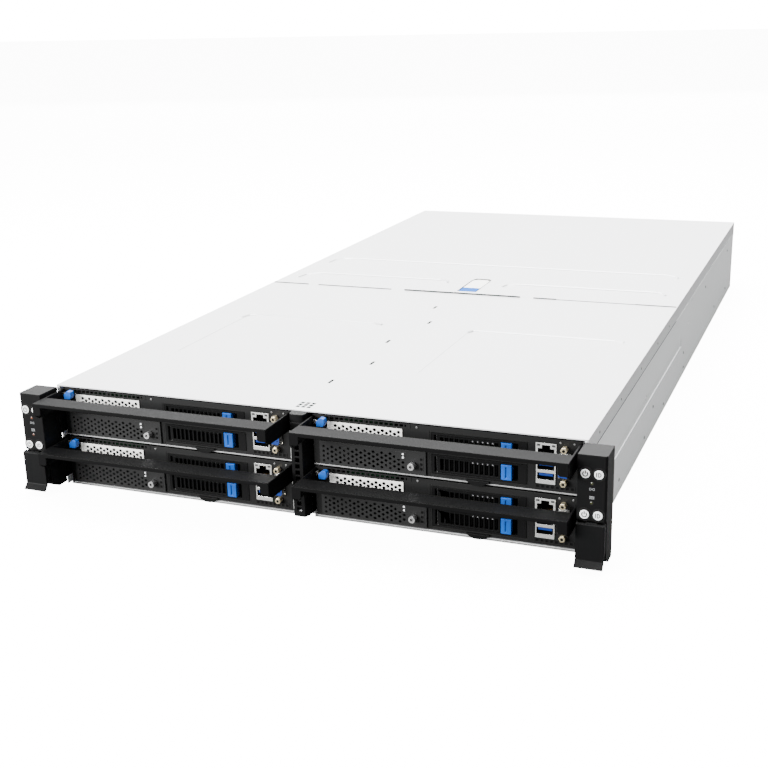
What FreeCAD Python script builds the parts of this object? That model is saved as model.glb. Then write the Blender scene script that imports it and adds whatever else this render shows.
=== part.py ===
import FreeCAD, Part
import os
import types

import Sketcher

from FreeCAD import Placement, Rotation, Vector

# Two-unit rack server with four front-loading server sleds, in millimetres.
# Frame: X to the right seen from the front, Y towards the rear, Z up.  The origin is the
# centre of the overall footprint, on the surface that the chassis stands on.
# Every sub-part is drawn from one front datum, the front edge of the top cover, and is then
# moved back by the same amount, so that the footprint is centred.

DRIVING_SIZES = [
    # chassis
    ("body_width", 444, "width of the chassis body"),
    ("body_height", 87.5, "height of the chassis, two rack units less the fitting gap"),
    ("body_depth", 900, "front edge of the top cover to the rear edge of the rear cover"),
    ("sheet_thick", 1.2, "chassis sheet"),
    ("cover_thick", 1.0, "top cover sheet"),
    ("flange_drop", 13, "side flange of the top covers"),
    ("flange_gap", 0.6, "gap under the cover flanges"),
    ("seam_place", 400, "seam between front and rear cover"),
    ("floor_setback", 6, "front edge of the chassis floor behind the cover edge"),
    ("rear_inset", 3, "rear wall in front of the rear cover edge"),
    ("runner_high", 1.1, "beads on the floor that the lower sleds run on"),
    ("slide_gap", 0.3, "running gap of everything that slides"),
    ("side_bead_thick", 3.0, "formed beads on the side walls that guide the sleds"),
    ("rail_band_low", 36.5, "lower edge of the pressed band along the side wall"),
    ("rail_band_high", 44.5, "upper edge of the pressed band along the side wall"),
    ("rail_band_deep", 0.6, "depth of the pressed band"),
    ("rail_hole_radius", 1.8, "rail fixing holes in the side walls"),
    # rack ears
    ("rack_width", 482, "width over the rack ears"),
    ("ear_reach", 25.7, "front face of the ears in front of the cover edge"),
    ("ear_back_gap", 2.2, "rear face of the ears in front of the cover edge"),
    ("ear_inner", 220.3, "inner face of the ears from the middle"),
    ("ear_low", 3.0, "underside of the ears"),
    ("ear_high", 86.3, "top of the ears"),
    ("ear_tongue", 20, "tongue of the ear inside the side wall"),
    ("button_radius", 4.1, "power and ID buttons"),
    ("button_gap", 0.3, "gap round a button"),
    ("button_proud", 0.6, "button in front of the ear face"),
    ("button_long", 3.2, "length of a button"),
    ("button_offset", 4.7, "buttons left and right of the ear's middle"),
    ("button_row_high", 72.8, "upper row of buttons"),
    ("button_row_low", 42.8, "lower row of buttons"),
    ("lamp_radius", 1.1, "status lamps"),
    ("lamp_row_high", 65.8, "upper status lamp"),
    ("lamp_row_low", 51.5, "lower status lamp"),
    ("lever_top", 37.3, "top of the ear latch lever"),
    ("lever_front", 29.2, "front of the ear latch lever before the cover edge"),
    ("lever_thick", 1.6, "wall of the ear latch lever"),
    ("lever_fold", 9.5, "height where the lever's lip starts"),
    ("lever_low", 5.2, "lower edge of the lever's lip"),
    ("lever_lip", 4.2, "how far the lip flares out"),
    ("lever_pin_ahead", 25.6, "lever pin before the cover edge"),
    ("lever_pin_high", 35.4, "height of the lever pin"),
    ("lever_pin_radius", 0.9, "lever pin"),
    # sleds
    ("sled_width", 208, "width of a sled"),
    ("sled_long", 560, "length of a sled tray"),
    ("sled_height", 40.8, "height kept for a sled"),
    ("sled_sheet", 1.0, "sled sheet"),
    ("sled_wall", 38, "height of a sled's side walls"),
    ("sled_face_high", 39.8, "height of a sled's front wall"),
    ("face_thick", 1.2, "sled front plate"),
    ("face_setback", 2.0, "sled front wall behind the cover edge"),
    ("divider_half", 9.2, "half the width of the middle divider"),
    ("shelf_thick", 1.0, "shelf between upper and lower sleds"),
    ("handle_reach", 42, "front of a sled handle before the sled's front wall"),
    ("handle_high", 38.8, "top of a sled handle above the sled's underside"),
    ("handle_deep", 17, "depth of the handle's top plate"),
    ("handle_thick", 1.5, "handle sheet"),
    ("handle_arm", 14, "height of the handle's side arms"),
    ("handle_lip", 3.0, "height of the handle's front lip"),
    ("handle_tab_wide", 7.5, "width of the handle's corner tabs"),
    ("handle_tab_high", 10, "height of the handle's corner tabs"),
    ("keel_wide", 23, "half-round tab under the sled's front edge"),
    ("keel_drop", 2.3, "how far the half-round tab hangs below the sled"),
    ("keel_place", 131.5, "middle of the half-round tab from the sled's left side"),
    ("latch_eye_radius", 1.2, "rolled eye at the rear end of the sled latch"),
    # drives
    ("bay_left", 94.3, "left side of the drive cage in the sled"),
    ("cage_sheet", 1.2, "drive cage sheet"),
    ("carrier_wide", 72.4, "width of a drive carrier"),
    ("carrier_high", 15, "height of a drive carrier"),
    ("carrier_long", 110, "length of a drive carrier"),
    ("cage_long", 118, "depth of the drive cage"),
    ("cage_floor", 1.5, "thickness of the cage floor"),
    ("bezel_deep", 8, "depth of a carrier's bezel"),
    ("bezel_rim", 1.4, "rim of a carrier's bezel above and below"),
    ("louvre_wide", 50.1, "width of the louvred lever"),
    ("louvre_thick", 3.0, "thickness of the louvred lever"),
    ("louvre_slot", 2.7, "width of a louvre slot"),
    ("louvre_pitch", 3.8, "spacing of the louvre slots"),
    ("pin_radius", 0.6, "pin that the louvred lever swings on"),
    ("pin_gap", 0.2, "gap round the small pins"),
    ("release_wide", 8.1, "width of the drive release tab"),
    ("release_travel", 3.0, "travel of the drive release tab"),
    ("drive_wide", 69.85, "2.5 inch drive, width"),
    ("drive_long", 100.4, "2.5 inch drive, length"),
    ("drive_high", 7.0, "2.5 inch drive, height"),
    # boards and ports of a sled
    ("board_thick", 1.6, "circuit boards"),
    ("board_high", 3.6, "underside of the main board above the sled's underside"),
    ("jack_wide", 15, "network jack"),
    ("jack_left", 174.5, "left side of the network jack and USB stack"),
    ("jack_low", 23.4, "underside of the network jack"),
    ("jack_high", 36.2, "top of the network jack"),
    ("stack_low", 7.3, "underside of the USB stack"),
    ("usb_wide", 12.4, "USB opening, width"),
    ("usb_high", 5.2, "USB opening, height"),
    # rear cover, latch
    ("latch_half", 9.6, "half the width of the cover latch"),
    ("latch_front", 412, "front end of the cover latch"),
    ("latch_pin_place", 470.6, "cover latch pin"),
    ("latch_thick", 2.4, "thickness of the cover latch"),
    # rear
    ("fan_size", 80, "fan frame, square"),
    ("fan_deep", 38, "fan frame, depth"),
    ("fan_bore", 38, "radius of the fan's air passage"),
    ("fan_tip", 36.6, "radius over the fan blades"),
    ("fan_hub", 19, "radius of the fan hub"),
    ("fan_pitch", 86, "spacing of the fans"),
    ("psu_wide", 73.6, "power supply, width"),
    ("psu_high", 39.6, "power supply, height"),
    ("psu_long", 262, "power supply, length inside the chassis"),
    ("inlet_deep", 16, "depth of the power inlet"),
    ("psu_grip", 18, "power supply handle behind the rear cover"),
]

doc = FreeCAD.newDocument("rack_server")
sheet = doc.addObject("Spreadsheet::Sheet", "Dims")
for row, (alias, number, note) in enumerate(DRIVING_SIZES, start=1):
    sheet.set(f"A{row}", note)
    sheet.set(f"B{row}", str(number))
    sheet.setAlias(f"B{row}", alias)
doc.recompute()


class Size:
    """A length with its number and the sheet expression that it comes from."""

    def __init__(self, number, text):
        self.number = number
        self.text = text

    def __add__(self, other):
        other = size(other)
        return Size(self.number + other.number, f"({self.text} + {other.text})")

    def __sub__(self, other):
        other = size(other)
        return Size(self.number - other.number, f"({self.text} - {other.text})")

    def __mul__(self, factor):
        factor = size(factor)
        return Size(self.number * factor.number, f"({self.text} * {factor.text})")

    def __truediv__(self, divisor):
        divisor = size(divisor)
        return Size(self.number / divisor.number, f"({self.text} / {divisor.text})")

    def __radd__(self, other):
        return size(other) + self

    def __rsub__(self, other):
        return size(other) - self

    def __rmul__(self, other):
        return size(other) * self

    def __neg__(self):
        return size(0) - self


def size(value):
    """Turns a plain number into a Size and leaves a Size as it is."""
    if isinstance(value, Size):
        return value
    return Size(float(value), repr(float(value)))


d = types.SimpleNamespace()
for alias, number, note in DRIVING_SIZES:
    setattr(d, alias, Size(float(sheet.get(alias)), f"Dims.{alias}"))

# Places that several sub-parts share, worked out from the driving sizes.
front_shift = (d.handle_reach - d.face_setback - d.body_depth - d.psu_grip) / 2
half_width = d.body_width / 2
half_rack = d.rack_width / 2
wall_inner = half_width - d.sheet_thick
roof_low = d.body_height - d.cover_thick
flange_low = d.body_height - d.flange_drop
rear_wall = d.body_depth - d.rear_inset
sled_left = d.divider_half + d.slide_gap
sled_low = d.sheet_thick + d.runner_high + d.slide_gap
shelf_low = sled_low + d.sled_height + d.slide_gap
sled_upper = shelf_low + d.shelf_thick + d.slide_gap
sled_rear = d.face_setback + d.sled_long
supply_bay = d.psu_wide / 2 + d.slide_gap
supply_shelf = d.sheet_thick + d.psu_high + 2 * d.slide_gap
supply_lows = [d.sheet_thick + d.slide_gap, supply_shelf + 1 + d.slide_gap]
supply_top = supply_lows[1] + d.psu_high
fan_near = d.psu_wide / 2 + 6 + d.fan_size / 2
fan_front = rear_wall - d.sheet_thick - 4 - d.fan_deep
fan_axis_high = d.sheet_thick + d.fan_size / 2


def bind(item, name, value):
    """Ties a property to the sheet, or sets it where it is a plain number."""
    item.setExpression(name, size(value).text)


def place(item, x=0, y=0, z=0):
    """Ties an object's position to the sheet."""
    bind(item, ".Placement.Base.x", x)
    bind(item, ".Placement.Base.y", y)
    bind(item, ".Placement.Base.z", z)
    return item


def block(name, x, y, z):
    """A box; x, y and z are each (from, to)."""
    item = doc.addObject("Part::Box", name)
    for prop, (low, high) in zip(("Length", "Width", "Height"), (x, y, z)):
        bind(item, prop, size(high) - low)
    return place(item, x[0], y[0], z[0])


TURN = {
    "x": Rotation(Vector(0, 1, 0), 90),
    "y": Rotation(Vector(1, 0, 0), -90),
    "z": Rotation(),
}


def rod(name, axis, start, radius, length):
    """A cylinder that runs from start along a positive axis."""
    item = doc.addObject("Part::Cylinder", name)
    item.Placement = Placement(Vector(), TURN[axis])
    bind(item, "Radius", radius)
    bind(item, "Height", length)
    return place(item, *start)


def group(name, *members):
    """Separate solids that share one node or one tool."""
    item = doc.addObject("Part::Compound", name)
    item.Links = list(members)
    return item


def fuse(name, *members):
    """One solid made of several that touch."""
    item = doc.addObject("Part::MultiFuse", name)
    item.Shapes = list(members)
    item.Refine = True
    return item


def cut(name, base, *tools):
    """A solid less its tools."""
    item = doc.addObject("Part::Cut", name)
    item.Base = base
    item.Tool = tools[0] if len(tools) == 1 else group(name + "Tools", *tools)
    item.Refine = True
    return item


def mirrored(name, source):
    """The left-hand twin of a right-hand piece."""
    item = doc.addObject("Part::Mirroring", name)
    item.Source = source
    item.Normal = Vector(1, 0, 0)
    return item


def new_body(name):
    """An empty PartDesign body."""
    return doc.addObject("PartDesign::Body", name)


def origin_item(body, role):
    """One of a body's own origin planes or axes."""
    return next(item for item in body.Origin.OriginFeatures if item.Role == role)


def rect(a0, b0, a1, b1):
    """Corner points of a rectangle in a sketch."""
    return [(a0, b0), (a1, b0), (a1, b1), (a0, b1)]


def tie_point(sketch, name, geometry, end, point):
    """Fixes one sketch point to the origin with two distances from the sheet."""
    for axis, value in zip(("DistanceX", "DistanceY"), point):
        value = size(value)
        label = f"{name}{axis[-1]}"
        number = sketch.addConstraint(
            Sketcher.Constraint(axis, -1, 1, geometry, end, value.number))
        sketch.renameConstraint(number, label)
        sketch.setExpression(f"Constraints.{label}", value.text)


def draw_outline(sketch, tag, points):
    """A closed outline of straight lines."""
    vectors = [Vector(size(a).number, size(b).number, 0) for a, b in points]
    first = sketch.GeometryCount
    for start, end in zip(vectors, vectors[1:] + vectors[:1]):
        sketch.addGeometry(Part.LineSegment(start, end), False)
    for index in range(len(points)):
        after = first + (index + 1) % len(points)
        sketch.addConstraint(Sketcher.Constraint("Coincident", first + index, 2, after, 1))
    for index, point in enumerate(points):
        tie_point(sketch, f"{tag}p{index}", first + index, 1, point)


def draw_circle(sketch, tag, centre, radius):
    """A circle with its centre and radius from the sheet."""
    centre_vector = Vector(size(centre[0]).number, size(centre[1]).number, 0)
    number = sketch.addGeometry(
        Part.Circle(centre_vector, Vector(0, 0, 1), size(radius).number), False)
    tie_point(sketch, f"{tag}c", number, 3, centre)
    rule = sketch.addConstraint(
        Sketcher.Constraint("Radius", number, size(radius).number))
    sketch.renameConstraint(rule, f"{tag}r")
    sketch.setExpression(f"Constraints.{tag}r", size(radius).text)


def make_sketch(body, name, role, offset, loops):
    """A sketch on one of the body's origin planes; a loop is points or (centre, radius)."""
    sketch = body.newObject("Sketcher::SketchObject", name)
    sketch.AttachmentSupport = [(origin_item(body, role), "")]
    sketch.MapMode = "FlatFace"
    bind(sketch, ".AttachmentOffset.Base.z", offset)
    for number, loop in enumerate(loops):
        if isinstance(loop, tuple):
            draw_circle(sketch, f"k{number}", *loop)
        else:
            draw_outline(sketch, f"k{number}", loop)
    return sketch


def sketch_offset(role, span):
    """Plane offset so that a pad fills the span; the XZ plane looks towards -Y."""
    return -size(span[1]) if role == "XZ_Plane" else size(span[0])


def pad(body, name, role, span, *loops):
    """Adds a prism over the span along the plane's axis."""
    feature = body.newObject("PartDesign::Pad", name)
    feature.Profile = make_sketch(body, name + "Sketch", role, sketch_offset(role, span), loops)
    bind(feature, "Length", size(span[1]) - span[0])
    body.Tip = feature
    return feature


def pocket(body, name, role, span, *loops):
    """Removes a prism over the span along the plane's axis."""
    feature = body.newObject("PartDesign::Pocket", name)
    feature.Profile = make_sketch(body, name + "Sketch", role, sketch_offset(role, span), loops)
    feature.Reversed = True
    bind(feature, "Length", size(span[1]) - span[0])
    body.Tip = feature
    return feature


def row_of(body, name, original, axis_role, pitch, count):
    """Repeats a feature in a straight row."""
    feature = body.newObject("PartDesign::LinearPattern", name)
    feature.Originals = [original]
    feature.Direction = (origin_item(body, axis_role), [""])
    bind(feature, "Length", size(pitch) * (count - 1))
    feature.Occurrences = count
    body.Tip = feature
    return feature


def ring_of(body, name, original, axis_role, count):
    """Repeats a feature round an axis."""
    feature = body.newObject("PartDesign::PolarPattern", name)
    feature.Originals = [original]
    feature.Axis = (origin_item(body, axis_role), [""])
    feature.Angle = 360
    feature.Occurrences = count
    body.Tip = feature
    return feature


def turned(body, name, role, axis_role, points):
    """A solid of revolution from a half outline."""
    feature = body.newObject("PartDesign::Revolution", name)
    feature.Profile = make_sketch(body, name + "Sketch", role, 0, [points])
    feature.ReferenceAxis = (origin_item(body, axis_role), [""])
    feature.Angle = 360
    body.Tip = feature
    return feature


NODES = []


def node(name, source, x=0, y=0, z=0):
    """A finished sub-part: a placed instance whose label names its file."""
    item = group("Node_" + name, source)
    item.Label = name
    place(item, x, front_shift + y, z)
    NODES.append(item)
    return item


# ---------------------------------------------------------------- chassis

def make_side_wall(name, sign):
    """Joggled side wall with its pressed band, rail fixing hole and service slots."""
    body = new_body(name)
    wall = d.sheet_thick
    step = d.cover_thick + 0.2
    step_low = flange_low - d.flange_gap
    section = [
        (half_width, 0),
        (half_width, step_low),
        (half_width - step, step_low),
        (half_width - step, roof_low),
        (half_width - step - wall, roof_low),
        (half_width - step - wall, step_low - wall),
        (wall_inner, step_low - wall),
        (wall_inner, 0),
    ]
    if sign < 0:
        section = [(-a, b) for a, b in reversed(section)]
    pad(body, name + "Folds", "XZ_Plane", (0, rear_wall), section)
    face = sign * half_width
    pocket(body, name + "Band", "XY_Plane", (d.rail_band_low, d.rail_band_high),
           rect(face + sign, 24, face - sign * d.rail_band_deep, 440))
    span = (-half_width - 1, -half_width + 4) if sign < 0 else (half_width - 4, half_width + 1)
    holes = [((y, z), d.rail_hole_radius) for y, z in RAIL_HOLES]
    slots = [rect(y - 1.2, z - 3, y + 1.2, z + 3) for y, z in RAIL_SLOTS]
    pocket(body, name + "Holes", "YZ_Plane", span, *holes, *slots)
    return body


def make_rear_panel(name, sign):
    """Rear panel beside the power supplies with the air slots of its two fans."""
    body = new_body(name)
    near = sign * supply_bay
    far = sign * (half_width - d.cover_thick - 0.2 - d.sheet_thick)
    span = (rear_wall - d.sheet_thick, rear_wall)
    pad(body, name + "Sheet", "XZ_Plane", span, rect(near, d.sheet_thick, far, roof_low))
    for number in (1, 2):
        first = sign * (fan_near + (number - 1) * d.fan_pitch) - 31.5
        slot = pocket(body, f"{name}Grille{number}", "XZ_Plane",
                      (rear_wall - 2 * d.sheet_thick, rear_wall + 1),
                      rect(first, 12, first + 9.5, 76))
        row_of(body, f"{name}Grille{number}Row", slot, "X_Axis", 13.4, 5)
    return body


def make_tub():
    """Chassis tub: floor, side walls, rear panels, and the beads that the sleds run on."""
    floor = block("TubFloor", (-wall_inner, wall_inner), (d.floor_setback, rear_wall),
                  (0, d.sheet_thick))
    sides = (("Left", -1), ("Right", 1))
    walls = [make_side_wall(f"TubWall{side}", sign) for side, sign in sides]
    panels = [make_rear_panel(f"TubRear{side}", sign) for side, sign in sides]
    panels.append(block("TubRearStrip", (-supply_bay, supply_bay),
                        (rear_wall - d.sheet_thick, rear_wall), (supply_top + 1.5, roof_low)))
    beads = []
    for number, centre in enumerate((30, 178), start=1):
        for side, start in (("Left", -(sled_left + d.sled_width)), ("Right", sled_left)):
            x0 = start + centre
            beads.append(block(f"TubRunner{side}{number}", (x0 - 5, x0 + 5),
                               (12, sled_rear - 10), (d.sheet_thick, d.sheet_thick + d.runner_high)))
    for number, low in enumerate((16, 58), start=1):
        for side, sign in sides:
            ends = (wall_inner - d.side_bead_thick, wall_inner) if sign > 0 else (
                -wall_inner, -wall_inner + d.side_bead_thick)
            beads.append(block(f"TubGuide{side}{number}", ends, (26, sled_rear - 10),
                               (low, low + 8)))
    return group("Tub", floor, *walls, *panels, *beads)


RAIL_HOLES = [(491, 50.0)]
RAIL_SLOTS = [(238, 44.0), (437, 46.5), (507, 70.0)]


def make_front_cover():
    """Fixed front cover with side flanges, service slots and two pressed panels."""
    body = new_body("FrontCover")
    sheet_low = roof_low
    inner = half_width - d.cover_thick
    pad(body, "FrontCoverFolds", "XZ_Plane", (0, d.seam_place - 0.4), [
        (-half_width, flange_low), (-half_width, d.body_height),
        (half_width, d.body_height), (half_width, flange_low),
        (inner, flange_low), (inner, sheet_low), (-inner, sheet_low), (-inner, flange_low)])
    vents = [rect(x - 1.3, y - 1.2, x + 1.3, y + 1.2)
             for x in (-5.2, -0.6, 4.0) for y in (7.6, 12.2, 16.8)]
    pocket(body, "FrontCoverVents", "XY_Plane", (sheet_low - 1, d.body_height + 1), *vents)
    slots = [rect(x - 1.1, y - 4.5, x + 1.1, y + 4.5)
             for x, y in ((-7, 74), (5.5, 133), (-7, 202), (6.4, 277), (-8.5, 336))]
    pocket(body, "FrontCoverSlots", "XY_Plane", (sheet_low - 1, d.body_height + 1), *slots)
    panels = [rect(x, 117, x + 144, 260) for x in (-178, 53)]
    pocket(body, "FrontCoverPanels", "XY_Plane", (d.body_height - 0.25, d.body_height + 1), *panels)
    return body


def make_divider():
    """Middle wall between the left and right sleds, with its perforated cap."""
    wall = new_body("Divider")
    pad(wall, "DividerWall", "YZ_Plane", (-d.divider_half, d.divider_half), [
        (12, d.sheet_thick), (sled_rear, d.sheet_thick), (sled_rear, flange_low + 8.7),
        (d.seam_place - 4, flange_low + 8.7), (d.seam_place - 4, roof_low), (12, roof_low)])
    core = d.divider_half - d.sheet_thick
    pocket(wall, "DividerHollow", "XY_Plane", (0, d.body_height),
           rect(-core, 13.2, core, sled_rear + 1))
    cap = new_body("DividerCap")
    pad(cap, "CapSection", "XY_Plane", (d.ear_low, d.ear_high - 6.5), [
        (-6.5, 12), (-6.5, -5), (-4.6, -9), (4.6, -9), (6.5, -5), (6.5, 12),
        (5.3, 12), (5.3, -4.5), (4.0, -7.6), (-4.0, -7.6), (-5.3, -4.5), (-5.3, 12)])
    hole = pocket(cap, "CapHole", "XZ_Plane", (-10, -7), rect(-1.8, 7, 1.8, 10.6))
    row_of(cap, "CapHoles", hole, "Z_Axis", 5.1, 13)
    pad(cap, "CapKnob", "XY_Plane", (d.ear_high - 6.5, d.ear_high), [
        (-6.5, 12), (-6.5, -5), (-5.4, -7.2), (-3.4, -8.2), (3.4, -8.2), (5.4, -7.2),
        (6.5, -5), (6.5, 12)])
    return wall, cap


def make_shelves():
    """The two shelves that carry the upper sleds."""
    span = (shelf_low, shelf_low + d.shelf_thick)
    return [block(f"Shelf{side}", x, (d.face_setback + 0.2, sled_rear), span)
            for side, x in (("Left", (-wall_inner, -d.divider_half)),
                            ("Right", (d.divider_half, wall_inner)))]


# ---------------------------------------------------------------- rack ears

def make_ear(name):
    """Right rack ear: control housing with button wells, lamp holes and lever lug."""
    body = new_body(name)
    front = -d.ear_reach
    back = -d.ear_back_gap
    middle = (d.ear_inner + half_rack) / 2
    pad(body, name + "Housing", "XY_Plane", (d.ear_low, d.ear_high), [
        (d.ear_inner, front), (half_rack - 1.4, front), (half_rack, front + 1.4),
        (half_rack, back), (d.ear_inner, back)])
    pocket(body, name + "LeverRecess", "YZ_Plane", (d.ear_inner - 1, half_rack + 1), [
        (front - 1, d.ear_low - 1), (front + 14, d.ear_low - 1), (front + 3.2, d.ear_low + 7),
        (front + 3.2, d.lever_top + 0.7), (front - 1, d.lever_top + 0.7)])
    wells = [((middle + sign * d.button_offset, z), d.button_radius + d.button_gap)
             for sign in (-1, 1) for z in (d.button_row_low, d.button_row_high)]
    pocket(body, name + "ButtonWells", "XZ_Plane", (front - 1, front + 4.2), *wells)
    for number, span in enumerate(((8, shelf_low - 1.5), (sled_upper + 2, flange_low - 4)), start=1):
        pad(body, f"{name}Tongue{number}", "XY_Plane", span,
            rect(wall_inner - 2, back - 3, wall_inner, d.ear_tongue))
    return body


def make_lever_lug(name, x_low, x_high):
    """Lug on the ear that carries the lever pin."""
    centre = (-d.lever_pin_ahead, d.lever_pin_high)
    neck = block(name + "Neck", (x_low, x_high), (-d.lever_pin_ahead, -d.ear_reach + 3.2),
                 (d.lever_pin_high - 1.7, d.lever_pin_high + 1.7))
    knuckle = rod(name + "Knuckle", "x", (x_low, *centre), 1.75, x_high - x_low)
    bore = rod(name + "Bore", "x", (x_low - 1, *centre), d.lever_pin_radius + 0.2,
               x_high - x_low + 2)
    return cut(name, fuse(name + "Solid", neck, knuckle), bore)


def make_ear_lever(name):
    """Right ear latch lever: a folded shell with a flared lip, swung on a pin at its top."""
    low_x = d.ear_inner + 0.2
    high_x = half_rack - 0.2
    front = -d.lever_front
    wall = d.lever_thick
    body = new_body(name)
    pad(body, name + "Plate", "YZ_Plane", (low_x, high_x), [
        (front, d.lever_top - 1.0), (front, d.lever_fold), (front - d.lever_lip, d.lever_low),
        (front - d.lever_lip + 1.7, d.lever_low - 1.0), (front + wall, d.lever_fold - 0.7),
        (front + wall, d.lever_top - 0.3)])
    cheek = [(front + wall, d.lever_pin_high + 1.6), (front + wall, d.lever_fold + 1),
             (-d.ear_reach + 2.4, d.lever_fold + 6),
             (-d.lever_pin_ahead + 1.9, d.lever_pin_high - 1.2),
             (-d.lever_pin_ahead + 1.9, d.lever_pin_high + 0.6),
             (-d.lever_pin_ahead + 0.6, d.lever_pin_high + 1.8)]
    for side, x in (("Inner", low_x), ("Outer", high_x - wall)):
        pad(body, f"{name}Cheek{side}", "YZ_Plane", (x, x + wall), cheek)
    pad(body, name + "Pin", "YZ_Plane", (low_x + wall - 0.2, high_x - wall + 0.2),
        ((-d.lever_pin_ahead, d.lever_pin_high), d.lever_pin_radius))
    return body


def make_button():
    """Round button; its axis runs through the origin."""
    body = new_body("Button")
    turned(body, "ButtonTurn", "YZ_Plane", "Y_Axis", [
        (0, 0), (0, d.button_radius), (d.button_long, d.button_radius), (d.button_long, 0)])
    return body


# ---------------------------------------------------------------- sleds
# Sled pieces are drawn from the sled's own lower left front corner.

def make_tray():
    """Sled tray: a pan folded from one sheet, and the front plate riveted to it."""
    pan = new_body("TrayPan")
    t = d.sled_sheet
    w = d.sled_width
    pad(pan, "TrayFolds", "XZ_Plane", (d.face_thick, d.sled_long), [
        (0, 0), (w, 0), (w, d.sled_wall), (w - t, d.sled_wall), (w - t, t),
        (t, t), (t, d.sled_wall), (0, d.sled_wall)])
    body = new_body("TrayFace")
    pad(body, "TrayFront", "XZ_Plane", (0, d.face_thick), rect(0, 0, w, d.sled_face_high))
    windows = [
        rect(d.bay_left, t, d.bay_left + bay_wide, t + bay_high),
        rect(14, 21.5, 71, 33.5),
        rect(8, 3, 89, 16.5),
        rect(d.jack_left - 0.3, d.board_high, d.jack_left + d.jack_wide + 0.3, d.jack_high + 0.3),
        rect(191.2, 11.5, 200.2, 29.5),
        rect(t, 33.2, 7.2, 36.8),
    ]
    pocket(body, "TrayWindows", "XZ_Plane", (-1, 2), *windows)
    slot = pocket(body, "TrayAirSlot", "XZ_Plane", (-1, 2), rect(9.8, 37.0, 41.8, 38.9))
    row_of(body, "TrayAirSlots", slot, "X_Axis", 34, 2)
    return pan, body


bay_wide = d.carrier_wide + 2 * d.slide_gap + 2 * d.cage_sheet
bay_pitch = d.carrier_high + 2 * d.slide_gap + d.cage_sheet
bay_high = d.cage_floor + 2 * bay_pitch
bay_lefts = d.bay_left + d.cage_sheet
bay_lows = [d.sled_sheet + d.cage_floor, d.sled_sheet + d.cage_floor + bay_pitch]


def make_cage():
    """Two-bay drive cage that stands on the tray floor."""
    body = new_body("Cage")
    bays = [rect(bay_lefts, low, bay_lefts + d.carrier_wide + 2 * d.slide_gap,
                 low + d.carrier_high + 2 * d.slide_gap) for low in bay_lows]
    pad(body, "CageSection", "XZ_Plane", (0.2, d.cage_long),
        rect(d.bay_left, d.sled_sheet, d.bay_left + bay_wide, d.sled_sheet + bay_high), *bays)
    return body


def make_handle():
    """Black pull handle: top plate with front lip, corner tabs, arms and riveting feet."""
    body = new_body("Handle")
    t = d.handle_thick
    w = d.sled_width
    front = -d.handle_reach
    top = d.handle_high
    pad(body, "HandlePlate", "YZ_Plane", (0, w), [
        (front, top), (front, top - d.handle_lip), (front + t, top - d.handle_lip),
        (front + t, top - t), (front + d.handle_deep, top - t), (front + d.handle_deep, top)])
    tab = d.handle_tab_wide
    pad(body, "HandleTabs", "XZ_Plane", (front, front + t),
        [(0, top - d.handle_tab_high), (tab - 1.5, top - d.handle_tab_high),
         (tab, top - d.handle_tab_high + 1.5), (tab, top), (0, top)],
        [(w, top - d.handle_tab_high), (w - tab + 1.5, top - d.handle_tab_high),
         (w - tab, top - d.handle_tab_high + 1.5), (w - tab, top), (w, top)])
    arm = [(front, top), (front, top - d.handle_tab_high), (front + 6, top - d.handle_arm),
           (0, top - d.handle_arm), (0, top)]
    for side, x in (("Left", size(0)), ("Right", w - t)):
        pad(body, f"HandleArm{side}", "YZ_Plane", (x, x + t), arm)
    foot_low = top - d.handle_arm
    for side, x in (("Left", (t, t + 7)), ("Right", (w - t - 6.5, w - t))):
        pad(body, f"HandleFoot{side}", "XZ_Plane", (-t, 0), rect(x[0], foot_low, x[1], foot_low + 7))
    return body


def make_keel():
    """Black half-round stop under the sled's front edge."""
    disc = rod("KeelDisc", "y", (d.keel_place, -2.5, 9), d.keel_wide / 2, 2.5)
    keep = block("KeelKeep", (d.keel_place - d.keel_wide / 2, d.keel_place + d.keel_wide / 2),
                 (-2.5, 0), (-d.keel_drop, 1.8))
    common = doc.addObject("Part::MultiCommon", "Keel")
    common.Shapes = [disc, keep]
    return common


latch_eye = (size(2.3), size(63.0))


def make_sled_latch():
    """Spring strip along the sled's left wall with the blue thumb piece at its front."""
    strip = new_body("LatchStrip")
    pad(strip, "StripSection", "XY_Plane", (33.5, 36.5), [
        (1.9, 62), (1.9, -3.6), (7.0, -5.4), (7.0, -4.6), (2.7, -3.0), (2.7, 62)])
    pad(strip, "StripEye", "XY_Plane", (33.5, 36.5), (latch_eye, d.latch_eye_radius))
    thumb = new_body("LatchThumb")
    pad(thumb, "ThumbSection", "XZ_Plane", (-9.5, -4.6), [
        (7.0, 33.2), (12.6, 33.2), (14.0, 36.2), (13.6, 39.6), (10.2, 40.2), (7.0, 37.0)])
    return group("SledLatch", strip, thumb)


# ---------------------------------------------------------------- drives
# Drive pieces are drawn from the carrier's own lower left front corner.

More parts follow.
